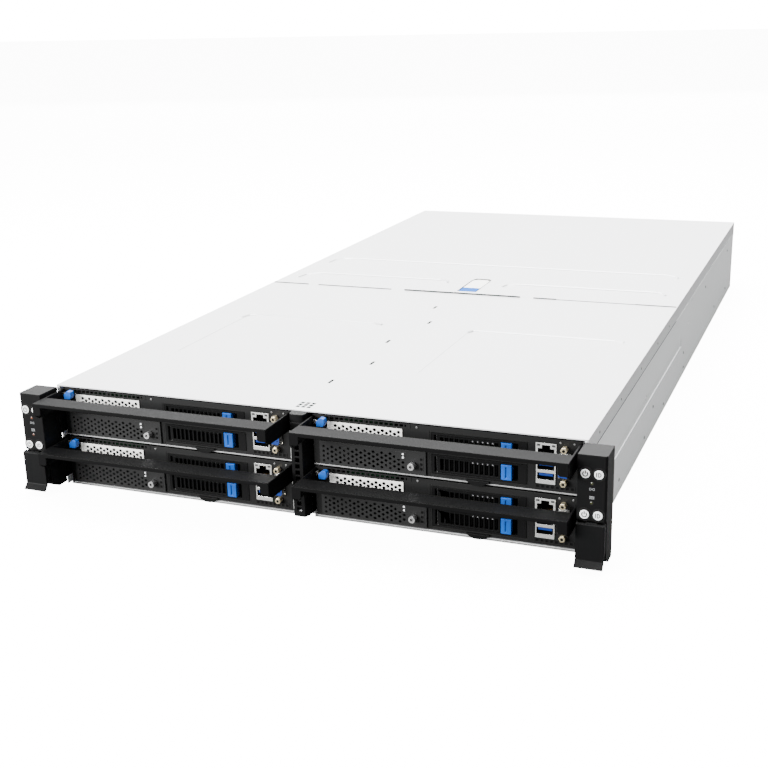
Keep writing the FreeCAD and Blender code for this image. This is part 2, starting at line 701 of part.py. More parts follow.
def make_carrier():
    """Drive carrier: bezel frame with two side rails, and the drive that it holds."""
    w = d.carrier_wide
    rim = d.bezel_rim
    body = new_body("Carrier")
    pad(body, "CarrierBezel", "XZ_Plane", (0, d.bezel_deep), rect(0, 0, w, d.carrier_high),
        rect(2, rim, w - 6.7, d.carrier_high - rim))
    rail = (w - d.drive_wide) / 2 - 0.05
    pad(body, "CarrierRails", "XZ_Plane", (d.bezel_deep, d.carrier_long),
        [(0, 1.0), (4, 1.0), (4, 2.6), (rail, 2.6), (rail, 12), (0, 12)],
        [(w, 1.0), (w - 4, 1.0), (w - 4, 2.6), (w - rail, 2.6), (w - rail, 12), (w, 12)])
    pin = doc.addObject("Part::Prism", "CarrierPin")
    pin.Polygon = 6
    bind(pin, "Circumradius", d.pin_radius)
    bind(pin, "Height", d.carrier_high - 2 * rim)
    place(pin, *hinge_at, rim)
    drive = block("Drive", ((w - d.drive_wide) / 2, (w + d.drive_wide) / 2),
                  (d.bezel_deep + 0.4, d.bezel_deep + 0.4 + d.drive_long),
                  (2.6, d.drive_high + 2.6))
    return group("CarrierSet", body, pin, drive)


hinge_at = (size(3.8), size(1.8))
drive_end = d.bezel_deep + 0.4 + d.drive_long + d.slide_gap
louvre_end = hinge_at[0] + d.louvre_wide - 1.5


def make_louvre():
    """Louvred lever of a drive carrier, swung on a pin at its left end."""
    rim = d.bezel_rim
    low = rim + 0.3
    high = d.carrier_high - rim - 0.3
    body = new_body("Louvre")
    pad(body, "LouvrePlate", "XY_Plane", (low, high), [
        (hinge_at[0], 0.3), (louvre_end, 0.3), (louvre_end, 0.3 + d.louvre_thick - 0.6),
        (louvre_end - 1.5, 0.3 + d.louvre_thick), (hinge_at[0], 0.3 + d.louvre_thick)])
    pocket(body, "LouvreSeat", "XY_Plane", (0, d.carrier_high),
           (hinge_at, d.pin_radius + d.pin_gap))
    slot = pocket(body, "LouvreSlot", "XZ_Plane", (-1, 4),
                  rect(6.4, low + 1.2, size(6.4) + d.louvre_slot, high - 1.2))
    row_of(body, "LouvreSlots", slot, "X_Axis", d.louvre_pitch, 12)
    return body


def make_release():
    """Blue release tab beside the louvred lever, with a finger scoop."""
    rim = d.bezel_rim
    left = louvre_end + 0.7
    body = new_body("Release")
    pad(body, "ReleaseSection", "XY_Plane", (rim + 0.3, d.carrier_high - rim - 0.3), [
        (left, -0.6), (left + 1.6, -1.1), (left + d.release_wide, -1.1),
        (left + d.release_wide, 4.6), (left + 1.2, 4.6), (left, 3.4)])
    pocket(body, "ReleaseScoop", "XZ_Plane", (-2, -0.2),
           rect(left + 3.4, 3.4, left + 4.6, d.carrier_high - 3.4))
    return body


# ---------------------------------------------------------------- sled electronics

def make_jack():
    """Network jack with its keyed opening."""
    body = new_body("Jack")
    x0 = d.jack_left
    x1 = d.jack_left + d.jack_wide
    pad(body, "JackShell", "XZ_Plane", (-0.6, 18), rect(x0, d.jack_low, x1, d.jack_high))
    m = (x0 + x1) / 2
    z = d.jack_low + 1.2
    pocket(body, "JackOpening", "XZ_Plane", (-1, 12), [
        (m - 6, z), (m + 6, z), (m + 6, z + 7.4), (m + 3, z + 7.4), (m + 3, z + 10),
        (m - 3, z + 10), (m - 3, z + 7.4), (m - 6, z + 7.4)])
    return body


def make_usb_stack():
    """Two stacked USB sockets in one shell, with their tongues."""
    body = new_body("UsbStack")
    x0 = d.jack_left + 0.4
    x1 = d.jack_left + d.jack_wide - 0.4
    board_top = d.board_high + d.board_thick
    pad(body, "UsbShell", "XZ_Plane", (-0.6, 17), rect(x0, board_top, x1, d.jack_low))
    m = (x0 + x1) / 2
    half = d.usb_wide / 2
    lows = [d.stack_low + 1.1, d.stack_low + 1.1 + d.usb_high + 2.4]
    openings = [rect(m - half, low, m + half, low + d.usb_high) for low in lows]
    pocket(body, "UsbOpenings", "XZ_Plane", (-1, 10), *openings)
    tongues = [block(f"UsbTongue{number}", (m - 5.2, m + 5.2), (0.4, 10),
                     (low + d.usb_high - 2.6, low + d.usb_high - 0.8))
               for number, low in enumerate(lows, start=1)]
    return [body] + tongues


def make_vga():
    """Upright video connector with its two jack screws."""
    m = size(195.7)
    core = new_body("VgaCore")
    pad(core, "VgaShroud", "XZ_Plane", (-4.4, 1.5), [
        (m - 3.9, 12.8), (m + 2.6, 12.2), (m + 3.9, 14), (m + 3.9, 27), (m + 2.6, 28.8),
        (m - 3.9, 28.2)])
    pad(core, "VgaBase", "XZ_Plane", (1.5, 12),
        rect(m - 4.8, d.board_high + d.board_thick, m + 4.8, 35))
    screws = [doc.addObject("Part::Prism", f"JackScrew{number}") for number in (1, 2)]
    for screw, z in zip(screws, (7.9, 33.1)):
        screw.Polygon = 6
        bind(screw, "Circumradius", 2.6)
        bind(screw, "Height", 4.8)
        screw.Placement = Placement(Vector(), TURN["y"])
        place(screw, m, -4.8, z)
    return [core] + screws


def make_pcie():
    """Low-profile expansion card: front bracket and its board."""
    bracket = block("Bracket", (12.4, 73), (-0.9, 0), (20, 35.3))
    card = block("BracketCard", (15, 69), (0, 168), (22, 23.6))
    cage = block("BracketPorts", (20, 62), (1.4, 40), (23.6, 32.5))
    return [bracket, fuse("ExpansionCard", card, cage)]


def make_ocp():
    """Network card in its slot: perforated face plate, board, heat sink and thumb screw."""
    body = new_body("OcpFace")
    pad(body, "OcpPlate", "XZ_Plane", (-1.6, 0), rect(5.5, 1.0, 91.5, 19.4))
    board = block("OcpBoard", (8, 88), (0, 116), (6.2, 7.8))
    sink = block("OcpSink", (22, 70), (40, 96), (7.8, 17))
    thumb = doc.addObject("Part::Prism", "OcpThumb")
    thumb.Polygon = 12
    bind(thumb, "Circumradius", 3.1)
    bind(thumb, "Height", 5.6)
    thumb.Placement = Placement(Vector(), TURN["y"])
    place(thumb, 81.5, -7.2, 8.3)
    return [body, fuse("OcpCard", board, sink), thumb]


def make_board():
    """Main board with heat sink, memory modules, stand-offs and rear plug."""
    body = new_body("Board")
    low = d.board_high
    top = low + d.board_thick
    pad(body, "BoardSheet", "XY_Plane", (low, top), [
        (4, 128), (171.6, 128), (171.6, 2), (204, 2), (204, d.sled_long - 6),
        (4, d.sled_long - 6)])
    sink = new_body("Heatsink")
    pad(sink, "SinkBase", "XY_Plane", (top + 2, top + 7), rect(56, 250, 152, 370))
    fin = pad(sink, "SinkFin", "XY_Plane", (top + 7, 37), rect(56, 250, 58, 370))
    row_of(sink, "SinkFins", fin, "X_Axis", 94 / 6, 7)
    socket = block("CpuSocket", (66, 142), (268, 352), (top, top + 2))
    modules = []
    for bank, start in (("Left", 9), ("Right", 159)):
        for number in range(4):
            x = start + 12 * number
            modules.append(block(f"Memory{bank}{number}", (x - 0.7, x + 0.7), (243, 377),
                                 (top, 37.5)))
    posts = []
    for number, (x, y) in enumerate(((14, 200), (196, 200), (14, 530), (196, 530))):
        post = doc.addObject("Part::Prism", f"Standoff{number}")
        post.Polygon = 6
        bind(post, "Circumradius", 3)
        bind(post, "Height", low - d.sled_sheet)
        posts.append(place(post, x, y, d.sled_sheet))
    plug = block("RearPlug", (60, 148), (d.sled_long - 22, d.sled_long), (top, 22))
    backplane = block("Backplane", (d.bay_left + 1, d.bay_left + bay_wide - 1),
                      (d.cage_long, d.cage_long + d.board_thick), (d.sled_sheet, 36))
    drive_plugs = [block(f"DrivePlug{number}", (bay_lefts + 18, bay_lefts + 54),
                         (drive_end + 0.3, d.cage_long), (bay_low + 3.5, bay_low + 9))
                   for number, bay_low in enumerate(bay_lows, start=1)]
    edge_plug = block("EdgePlug", (22, 74), (116.3, 134), (top, 10.5))
    return [body, sink, socket, plug, backplane, edge_plug] + drive_plugs + modules + posts


# ---------------------------------------------------------------- rear cover and latch

def make_rear_cover():
    """Sliding rear cover with finger recess, pressed ribs and latch well."""
    body = new_body("RearCover")
    inner = half_width - d.cover_thick
    top = d.body_height
    pad(body, "RearCoverFolds", "XZ_Plane", (d.seam_place + 0.4, d.body_depth), [
        (-half_width, flange_low), (-half_width, top), (half_width, top),
        (half_width, flange_low), (inner, flange_low), (inner, roof_low),
        (-inner, roof_low), (-inner, flange_low)])
    pad(body, "RearCoverLip", "XZ_Plane", (d.body_depth - d.cover_thick, d.body_depth),
        rect(-half_width, flange_low - 4, half_width, roof_low + 0.2))
    half_gap = d.psu_wide / 2 + 2
    pocket(body, "RearCoverGap", "XY_Plane", (flange_low - 5, roof_low),
           rect(-half_gap, d.body_depth - 3, half_gap, d.body_depth + 1))
    pocket(body, "RearCoverScoop", "XY_Plane", (top - 0.5, top + 1),
           rect(-62, d.seam_place, 62, d.seam_place + 7))
    grooves = [rect(-198, 541, 199, 545), rect(-197, 455, -33, 459), rect(33, 455, 199, 459)]
    pocket(body, "RearCoverRibs", "XY_Plane", (top - 0.4, top + 1), *grooves)
    half = d.latch_half + d.slide_gap
    well_front = d.latch_front - d.slide_gap
    well_back = d.latch_pin_place + 1.8
    floor_high = top - 0.2 - d.latch_thick - 0.3
    pad(body, "LatchWell", "XY_Plane", (floor_high - 0.8, roof_low),
        rect(-half - 1.2, well_front - 1.2, half + 1.2, well_back + 1.2))
    pocket(body, "LatchWellInside", "XY_Plane", (floor_high, top + 1),
           rect(-half, well_front, half, well_back))
    pocket(body, "LatchPinBore", "YZ_Plane", (-half - 0.8, half + 0.8),
           ((d.latch_pin_place, latch_pin_high), 0.75))
    return body


latch_pin_high = d.body_height - 0.2 - d.latch_thick / 2


def make_cover_latch():
    """Cover latch: a lever swung up at its front, with the blue touch pad."""
    top = d.body_height - 0.2
    low = top - d.latch_thick
    body = new_body("LatchLever")
    pad(body, "LatchPlate", "XY_Plane", (low, top), [
        (-d.latch_half, d.latch_front + 19), (d.latch_half, d.latch_front + 19),
        (d.latch_half, d.latch_pin_place - 6), (d.latch_half - 3.6, d.latch_pin_place),
        (-d.latch_half + 3.6, d.latch_pin_place), (-d.latch_half, d.latch_pin_place - 6)])
    pad(body, "LatchKnuckle", "YZ_Plane", (-d.latch_half + 3.6, d.latch_half - 3.6),
        ((d.latch_pin_place, latch_pin_high), d.latch_thick / 2))
    pad(body, "LatchPin", "YZ_Plane", (-d.latch_half - 0.9, d.latch_half + 0.9),
        ((d.latch_pin_place, latch_pin_high), 0.6))
    pad_piece = block("LatchPad", (-d.latch_half, d.latch_half),
                      (d.latch_front, d.latch_front + 19), (low, top))
    return group("CoverLatch", body, pad_piece)


# ---------------------------------------------------------------- rear equipment

def make_midplane():
    """Upright board behind the sleds, with their sockets and the power distribution."""
    body = new_body("Midplane")
    front = sled_rear + 4
    back = front + 2.4
    pad(body, "MidplaneSheet", "XZ_Plane", (front, back), rect(-214, d.sheet_thick, 214, 80))
    windows = [rect(x, z, x + 48, z + 28) for x in (-204, -60, 12, 156) for z in (8, 46)]
    pocket(body, "MidplaneWindows", "XZ_Plane", (front - 1, back + 1), *windows)
    sockets = []
    for side, left in (("Left", -(sled_left + d.sled_width)), ("Right", sled_left)):
        for level, low in (("Lower", sled_low), ("Upper", sled_upper)):
            sockets.append(block(f"Socket{side}{level}", (left + 62, left + 146),
                                 (sled_rear + 0.3, front), (low + 6, low + 21)))
    supply_front = rear_wall - d.psu_long
    power = block("PowerBoard", (-40, 40), (supply_front - 8, supply_front - 5.6),
                  (d.sheet_thick, 82))
    plugs = [block(f"SupplySocket{number}", (-26, 26), (supply_front - 5.6, supply_front - 0.3),
                   (low + 10, low + 28))
             for number, low in enumerate(supply_lows, start=1)]
    bay = supply_bay
    cage_y = (supply_front, rear_wall - d.sheet_thick)
    cheeks = [block(f"SupplyCheek{side}", x, cage_y, (d.sheet_thick, supply_top + 1.5))
              for side, x in (("Left", (-bay - 1.2, -bay)), ("Right", (bay, bay + 1.2)))]
    shelf = block("SupplyShelf", (-bay, bay), cage_y, (supply_shelf, supply_shelf + 1))
    bars = [block(f"BusBar{number}", (x, x + 8), (back, supply_front - 8), (38, 41))
            for number, x in enumerate((-9, 1), start=1)]
    return [body, power, shelf] + cheeks + sockets + plugs + bars


def fan_middle(number):
    """X of a fan's axis; two fans stand either side of the power supplies."""
    far = fan_near + d.fan_pitch
    return [-far, -fan_near, fan_near, far][number]


def make_fan_frame():
    """Square fan frame with a round air passage, hub plate and four struts."""
    half = d.fan_size / 2
    body = new_body("FanFrame")
    corner = size(5)
    pad(body, "FanFrameShell", "XZ_Plane", (0, d.fan_deep), [
        (-half + corner, -half), (half - corner, -half), (half, -half + corner),
        (half, half - corner), (half - corner, half), (-half + corner, half),
        (-half, half - corner), (-half, -half + corner)])
    pocket(body, "FanFrameBore", "XZ_Plane", (-1, d.fan_deep + 1), ((0, 0), d.fan_bore))
    strut = (d.fan_deep - 4, d.fan_deep - 1)
    reach = d.fan_bore + 0.5
    pad(body, "FanFrameBar", "XZ_Plane", strut, rect(-2, -reach, 2, reach))
    pad(body, "FanFrameCrossBar", "XZ_Plane", strut, rect(-reach, -2, reach, 2))
    return body


def make_fan_rotor():
    """Fan rotor: hub cup with five pitched blades."""
    body = new_body("FanRotor")
    back = d.fan_deep - 4.3
    pad(body, "RotorHub", "XZ_Plane", (2, back), ((0, 0), d.fan_hub - 0.4))
    chord = 10.4
    edge = 1.7
    blade = pad(body, "RotorBlade", "XY_Plane", (d.fan_hub - 2, d.fan_tip - 1.2), [
        (-chord, 4.5), (-chord + edge, 4.5), (chord, back - 3.5), (chord - edge, back - 3.5)])
    ring_of(body, "RotorBlades", blade, "Y_Axis", 5)
    return body


def make_supply():
    """Power supply: case, rear end with inlet and air slots, handle and release tab."""
    half = d.psu_wide / 2
    high = d.psu_high
    back = d.psu_long + d.rear_inset
    inner = back - d.inlet_deep
    case = block("SupplyCase", (-half, half), (0, inner), (0, high))
    end = new_body("SupplyEnd")
    pad(end, "SupplyEndBlock", "XZ_Plane", (inner, back), rect(-half, 0, half, high), [
        (14, 8), (32, 8), (32, 20), (29, 23), (17, 23), (14, 20)])
    slot = pocket(end, "SupplySlot", "XZ_Plane", (back - 3, back + 1), rect(-30, 8, -27.5, 32))
    row_of(end, "SupplySlots", slot, "X_Axis", 5.2, 7)
    grip = back + d.psu_grip
    handle = new_body("SupplyHandle")
    pad(handle, "SupplyHandleLoop", "YZ_Plane", (4, 8), [
        (back, 6), (grip, 6), (grip, 33), (back, 33), (back, 29), (grip - 4, 29),
        (grip - 4, 10), (back, 10)])
    tab = block("SupplyTab", (-half + 3, -half + 6), (back, back + 14), (27, 37))
    pins = [block(f"InletPin{number}", (x, x + 2), (inner, back - 6), (12.5, 17.5))
            for number, x in enumerate((18, 22, 26), start=1)]
    return group("SupplySet", case, end, handle, tab, *pins)


# ---------------------------------------------------------------- nodes

def build_chassis():
    """Fixed sub-parts of the chassis."""
    node("chassis_tub", make_tub())
    node("front_cover", make_front_cover())
    node("bay_frame", group("BayFrame", *make_divider(), *make_shelves()))
    node("rear_cover", make_rear_cover())
    node("cover_latch", make_cover_latch())


def build_ears():
    """Both rack ears with their levers, lamps and buttons."""
    middle = (d.ear_inner + half_rack) / 2
    housing = make_ear("Ear")
    lug = make_lever_lug("LeverLug", size(227), size(235))
    ear = fuse("EarSolid", housing, lug)
    lever = make_ear_lever("EarLever")
    node("ear_right", ear)
    node("ear_left", mirrored("EarMirrored", ear))
    node("ear_lever_right", lever)
    node("ear_lever_left", mirrored("EarLeverMirrored", lever))
    button = make_button()
    for side, sign in (("left", -1), ("right", 1)):
        for level, z in (("upper", d.button_row_high), ("lower", d.button_row_low)):
            for kind, offset in (("power", -d.button_offset), ("id", d.button_offset)):
                node(f"{kind}_button_{side}_{level}", button,
                     sign * middle + offset, -d.ear_reach - d.button_proud, z)


def build_sleds():
    """Four sleds, each with tray, electronics, latch and two drives."""
    tray = group("TraySet", *make_tray(), make_cage(), make_handle(), make_keel())
    electronics = group("ElectronicsSet", *make_board(), make_jack(), *make_usb_stack(),
                        *make_vga(), *make_pcie(), *make_ocp())
    latch = make_sled_latch()
    carrier = make_carrier()
    louvre = make_louvre()
    release = make_release()
    lefts = {"left": -(sled_left + d.sled_width), "right": sled_left}
    lows = {"upper": sled_upper, "lower": sled_low}
    for side, x in lefts.items():
        for level, z in lows.items():
            name = f"{side}_{level}"
            at = (x, d.face_setback, z)
            node(f"sled_tray_{name}", tray, *at)
            node(f"sled_electronics_{name}", electronics, *at)
            node(f"sled_latch_{name}", latch, *at)
            for number, low in enumerate(bay_lows, start=1):
                spot = (x + bay_lefts + d.slide_gap, d.face_setback, z + low + d.slide_gap)
                node(f"drive_carrier_{name}_{number}", carrier, *spot)
                node(f"drive_lever_{name}_{number}", louvre, *spot)
                node(f"drive_release_{name}_{number}", release, *spot)


def build_rear():
    """Fans and power supplies."""
    frame = make_fan_frame()
    frames = []
    for number in range(4):
        item = group(f"FanFrame{number + 1}Placed", frame)
        frames.append(place(item, fan_middle(number), fan_front, fan_axis_high))
    node("fan_wall", group("FanWall", *make_midplane(), *frames))
    rotor = make_fan_rotor()
    for number in range(4):
        node(f"fan_rotor_{number + 1}", rotor, fan_middle(number), fan_front, fan_axis_high)
    supply = make_supply()
    for number, low in enumerate(supply_lows, start=1):
        node(f"power_supply_{number}", supply, 0, rear_wall - d.psu_long, low)


def check_document():
    """Stops where an object failed, a shape is bad, or a feature changed nothing."""
    for item in doc.Objects:
        if "Invalid" in item.State or "Error" in item.State:
            raise RuntimeError(f"{item.Name} failed: {item.State}")
    for body in doc.findObjects("PartDesign::Body"):
        volume = 0
        for feature in body.Group:
            if not feature.isDerivedFrom("PartDesign::Feature"):
                continue
            now = feature.Shape.Volume
            shrinks = feature.isDerivedFrom("PartDesign::Pocket")
            if abs(now - volume) < 1e-4 or (shrinks and now > volume):
                raise RuntimeError(f"{feature.Name} changes nothing or points the wrong way")
            volume = now
    for item in NODES:
        if item.Shape.isNull() or not item.Shape.isValid() or not item.Shape.Solids:
            raise RuntimeError(f"{item.Label} has no valid shape")


build_chassis()
build_ears()
build_sleds()
build_rear()
doc.recompute()
check_document()
os.makedirs("parts", exist_ok=True)
for item in NODES:
    item.Shape.exportStep(f"parts/{item.Label}.step")
print(len(NODES), "nodes written")
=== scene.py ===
import logging
import math
from dataclasses import dataclass, field
from enum import Enum
from typing import Callable, Iterable, Sequence

import bmesh
import bpy
from mathutils import Matrix, Vector


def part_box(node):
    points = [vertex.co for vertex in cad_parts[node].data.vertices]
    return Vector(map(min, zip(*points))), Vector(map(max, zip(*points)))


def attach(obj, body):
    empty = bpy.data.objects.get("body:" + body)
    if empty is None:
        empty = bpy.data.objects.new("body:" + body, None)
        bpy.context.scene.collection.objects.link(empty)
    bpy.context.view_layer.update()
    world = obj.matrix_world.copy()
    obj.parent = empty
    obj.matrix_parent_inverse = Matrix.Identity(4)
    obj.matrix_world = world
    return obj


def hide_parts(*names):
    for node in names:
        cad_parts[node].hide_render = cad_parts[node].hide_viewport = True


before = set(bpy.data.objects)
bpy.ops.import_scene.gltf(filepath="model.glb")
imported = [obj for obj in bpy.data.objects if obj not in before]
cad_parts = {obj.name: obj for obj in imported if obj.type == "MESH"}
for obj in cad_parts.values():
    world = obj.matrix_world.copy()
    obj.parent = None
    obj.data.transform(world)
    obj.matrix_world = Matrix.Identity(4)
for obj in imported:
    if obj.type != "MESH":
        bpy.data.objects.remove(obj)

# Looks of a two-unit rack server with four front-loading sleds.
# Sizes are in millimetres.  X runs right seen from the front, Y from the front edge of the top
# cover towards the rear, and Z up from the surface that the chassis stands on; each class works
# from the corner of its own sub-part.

log = logging.getLogger("rack_server")

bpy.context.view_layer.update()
MM = 0.001
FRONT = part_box("front_cover")[0].y / MM
COVER_LOW, COVER_HIGH = (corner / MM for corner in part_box("front_cover"))
SIDES = ("left", "right")
LEVELS = ("upper", "lower")

Point = tuple[float, float, float]
Colour = tuple[float, float, float]


# ---------------------------------------------------------------- shader groups

class Wiring:
    """Adds and links the nodes of one node tree."""

    def __init__(self, tree: bpy.types.NodeTree) -> None:
        """Keeps the tree that the nodes go in."""
        self.tree = tree

    def add(self, kind: str, options: dict | None = None, **inputs: object) -> bpy.types.Node:
        """Adds a node.

        Args:
            kind: the node's type name.
            options: attributes set on the node itself.
            inputs: values or sockets for its inputs, with _ for a space.

        Returns:
            The new node.
        """
        item = self.tree.nodes.new(kind)
        for name, value in (options or {}).items():
            setattr(item, name, value)
        for name, value in inputs.items():
            self.feed(item.inputs[name.replace("_", " ")], value)
        return item

    def feed(self, socket: bpy.types.NodeSocket, value: object) -> None:
        """Links a socket to an input, or sets the input to a value."""
        if isinstance(value, bpy.types.NodeSocket):
            self.tree.links.new(value, socket)
        elif isinstance(value, tuple) and len(value) == 3 and socket.type == "RGBA":
            socket.default_value = (*value, 1.0)
        else:
            socket.default_value = value

    def maths(self, operation: str, first: object, second: object = 0.0,
              clamp: bool = False) -> bpy.types.NodeSocket:
        """Adds a Math node and returns its output."""
        item = self.add("ShaderNodeMath", {"operation": operation, "use_clamp": clamp})
        self.feed(item.inputs[0], first)
        self.feed(item.inputs[1], second)
        return item.outputs[0]

    def mix(self, share: object, first: object, second: object,
            blend: str = "MIX") -> bpy.types.NodeSocket:
        """Adds a colour Mix node and returns its output."""
        item = self.add("ShaderNodeMix", {"data_type": "RGBA", "blend_type": blend})
        self.feed(item.inputs["Factor"], share)
        self.feed(item.inputs[6], first)
        self.feed(item.inputs[7], second)
        return item.outputs[2]

    def noise(self, vector: object, scale: object, detail: float) -> bpy.types.NodeSocket:
        """Adds a Noise Texture and returns its value."""
        item = self.add("ShaderNodeTexNoise", Vector=vector, Scale=scale, Detail=detail)
        return item.outputs["Fac"]

    def steps(self, value: object, low: float, high: float) -> bpy.types.NodeSocket:
        """Maps low to high onto 0 to 1, clamped."""
        item = self.add("ShaderNodeMapRange", Value=value)
        item.inputs["From Min"].default_value = low
        item.inputs["From Max"].default_value = high
        return item.outputs["Result"]


def new_group(name: str, inputs: Sequence[tuple[str, str]],
              outputs: Sequence[tuple[str, str]]) -> tuple[bpy.types.NodeTree, Wiring, dict, dict]:
    """Starts a shader node group.

    Args:
        name: the group's name.
        inputs: name and kind (Vector, Color or Float) of each input.
        outputs: name and kind of each output.

    Returns:
        The group, its wiring, its input sockets by name and its output sockets by name.
    """
    tree = bpy.data.node_groups.new(name, "ShaderNodeTree")
    for direction, rows in (("INPUT", inputs), ("OUTPUT", outputs)):
        for label, kind in rows:
            tree.interface.new_socket(name=label, in_out=direction,
                                      socket_type="NodeSocket" + kind)
    entry = tree.nodes.new("NodeGroupInput")
    leave = tree.nodes.new("NodeGroupOutput")
    return (tree, Wiring(tree), {label: entry.outputs[label] for label, _ in inputs},
            {label: leave.inputs[label] for label, _ in outputs})


def make_grain_group() -> bpy.types.NodeTree:
    """Fine grain with broad, faint changes of shade and gloss, for mouldings and paint."""
    tree, wires, given, out = new_group(
        "surface_grain",
        (("Vector", "Vector"), ("Base", "Color"), ("Grain Scale", "Float"),
         ("Patch", "Float"), ("Gloss", "Float"), ("Gloss Spread", "Float")),
        (("Shade", "Color"), ("Rough", "Float"), ("Relief", "Float")))
    fine = wires.noise(given["Vector"], given["Grain Scale"], 2.0)
    broad = wires.noise(given["Vector"], 22.0, 3.0)
    swing = wires.maths("MULTIPLY", wires.maths("SUBTRACT", broad, 0.5), given["Patch"])
    light = wires.maths("ADD", 1.0, swing)
    wires.feed(out["Shade"], wires.mix(1.0, given["Base"], wires.add(
        "ShaderNodeCombineColor", Red=light, Green=light, Blue=light).outputs[0], "MULTIPLY"))
    gloss = wires.maths("MULTIPLY", wires.maths("SUBTRACT", broad, 0.5), given["Gloss Spread"])
    wires.feed(out["Rough"], wires.maths("ADD", given["Gloss"], gloss, clamp=True))
    wires.feed(out["Relief"], fine)
    return tree


def make_rolled_group() -> bpy.types.NodeTree:
    """Fine streaks along the depth of the chassis, left on sheet metal by the rolling mill."""
    tree, wires, given, out = new_group(
        "rolled_sheet",
        (("Vector", "Vector"), ("Base", "Color"), ("Patch", "Float"), ("Gloss", "Float"),
         ("Gloss Spread", "Float")),
        (("Shade", "Color"), ("Rough", "Float"), ("Relief", "Float")))
    stretched = wires.add("ShaderNodeMapping", Vector=given["Vector"],
                          Scale=(900.0, 9.0, 900.0)).outputs[0]
    streaks = wires.noise(stretched, 1.0, 2.0)
    cloud = wires.noise(given["Vector"], 9.0, 4.0)
    both = wires.maths("ADD", wires.maths("MULTIPLY", streaks, 0.4),
                       wires.maths("MULTIPLY", cloud, 0.6))
    swing = wires.maths("MULTIPLY", wires.maths("SUBTRACT", both, 0.5), given["Patch"])
    light = wires.maths("ADD", 1.0, swing)
    wires.feed(out["Shade"], wires.mix(1.0, given["Base"], wires.add(
        "ShaderNodeCombineColor", Red=light, Green=light, Blue=light).outputs[0], "MULTIPLY"))
    gloss = wires.maths("MULTIPLY", wires.maths("SUBTRACT", both, 0.5), given["Gloss Spread"])
    wires.feed(out["Rough"], wires.maths("ADD", given["Gloss"], gloss, clamp=True))
    wires.feed(out["Relief"], streaks)
    return tree


def make_spangle_group() -> bpy.types.NodeTree:
    """Soft crystal patches of hot-dip galvanised sheet."""
    tree, wires, given, out = new_group(
        "zinc_spangle",
        (("Vector", "Vector"), ("Base", "Color"), ("Patch", "Float"), ("Gloss", "Float"),
         ("Gloss Spread", "Float")),
        (("Shade", "Color"), ("Rough", "Float"), ("Relief", "Float")))
    cells = wires.add("ShaderNodeTexVoronoi", {"feature": "F1"}, Vector=given["Vector"],
                      Scale=260.0)
    tone = wires.add("ShaderNodeSeparateColor", Color=cells.outputs["Color"]).outputs[0]
    swing = wires.maths("MULTIPLY", wires.maths("SUBTRACT", tone, 0.5), given["Patch"])
    light = wires.maths("ADD", 1.0, swing)
    wires.feed(out["Shade"], wires.mix(1.0, given["Base"], wires.add(
        "ShaderNodeCombineColor", Red=light, Green=light, Blue=light).outputs[0], "MULTIPLY"))
    gloss = wires.maths("MULTIPLY", wires.maths("SUBTRACT", tone, 0.5), given["Gloss Spread"])
    wires.feed(out["Rough"], wires.maths("ADD", given["Gloss"], gloss, clamp=True))
    wires.feed(out["Relief"], cells.outputs["Distance"])
    return tree


def make_track_group() -> bpy.types.NodeTree:
    """Copper tracks and via dots under the solder mask of a circuit board."""
    tree, wires, given, out = new_group(
        "board_tracks",
        (("Vector", "Vector"), ("Base", "Color"), ("Track", "Color"), ("Gloss", "Float")),
        (("Shade", "Color"), ("Rough", "Float"), ("Relief", "Float")))
    bent = wires.add("ShaderNodeMapping", Vector=given["Vector"], Rotation=(0.0, 0.0, 0.785))
    bands = wires.add("ShaderNodeTexBrick", {"offset": 0.37, "squash": 1.0},
                      Vector=given["Vector"], Scale=90.0, Mortar_Size=0.045,
                      Mortar_Smooth=0.1, Brick_Width=1.9, Row_Height=0.21)
    slants = wires.add("ShaderNodeTexBrick", {"offset": 0.21}, Vector=bent.outputs[0],
                       Scale=55.0, Mortar_Size=0.03, Mortar_Smooth=0.1, Brick_Width=2.6,
                       Row_Height=0.3)
    dots = wires.add("ShaderNodeTexVoronoi", Vector=given["Vector"], Scale=230.0)
    pads = wires.maths("LESS_THAN", dots.outputs["Distance"], 0.16)
    lines = wires.maths("MAXIMUM", bands.outputs["Fac"],
                        wires.maths("MULTIPLY", slants.outputs["Fac"], 0.6))
    share = wires.maths("MAXIMUM", wires.maths("MULTIPLY", lines, 0.55), pads)
    wires.feed(out["Shade"], wires.mix(share, given["Base"], given["Track"]))
    wires.feed(out["Rough"], wires.maths("ADD", given["Gloss"],
                                         wires.maths("MULTIPLY", share, 0.12)))
    wires.feed(out["Relief"], share)
    return tree


def make_rub_and_highlight_group() -> bpy.types.NodeTree:
    """Lighter edges, partly rubbed bare and partly a painted highlight, found where a rounded
    normal leaves the flat one.
    """
    tree, wires, given, out = new_group(
        "edge_rub_and_highlight",
        (("Vector", "Vector"), ("Base", "Color"), ("Worn", "Color"), ("Amount", "Float"),
         ("Reach", "Float")),
        (("Shade", "Color"), ("Mask", "Float")))
    rounded = wires.add("ShaderNodeBevel", {"samples": 4}, Radius=given["Reach"])
    facing = wires.add("ShaderNodeNewGeometry")
    together = wires.add("ShaderNodeVectorMath", {"operation": "DOT_PRODUCT"})
    wires.feed(together.inputs[0], rounded.outputs[0])
    wires.feed(together.inputs[1], facing.outputs["Normal"])
    edge = wires.steps(together.outputs["Value"], 0.985, 0.80)
    patchy = wires.steps(wires.noise(given["Vector"], 160.0, 3.0), 0.30, 0.62)
    mask = wires.maths("MULTIPLY", wires.maths("MULTIPLY", edge, patchy), given["Amount"],
                       clamp=True)
    wires.feed(out["Shade"], wires.mix(mask, given["Base"], given["Worn"]))
    wires.feed(out["Mask"], mask)
    return tree


class Pattern(Enum):
    """Surface pattern of a finish, with the maker of its node group."""

    GRAIN = "grain"
    ROLLED = "rolled"
    SPANGLE = "spangle"
    TRACKS = "tracks"


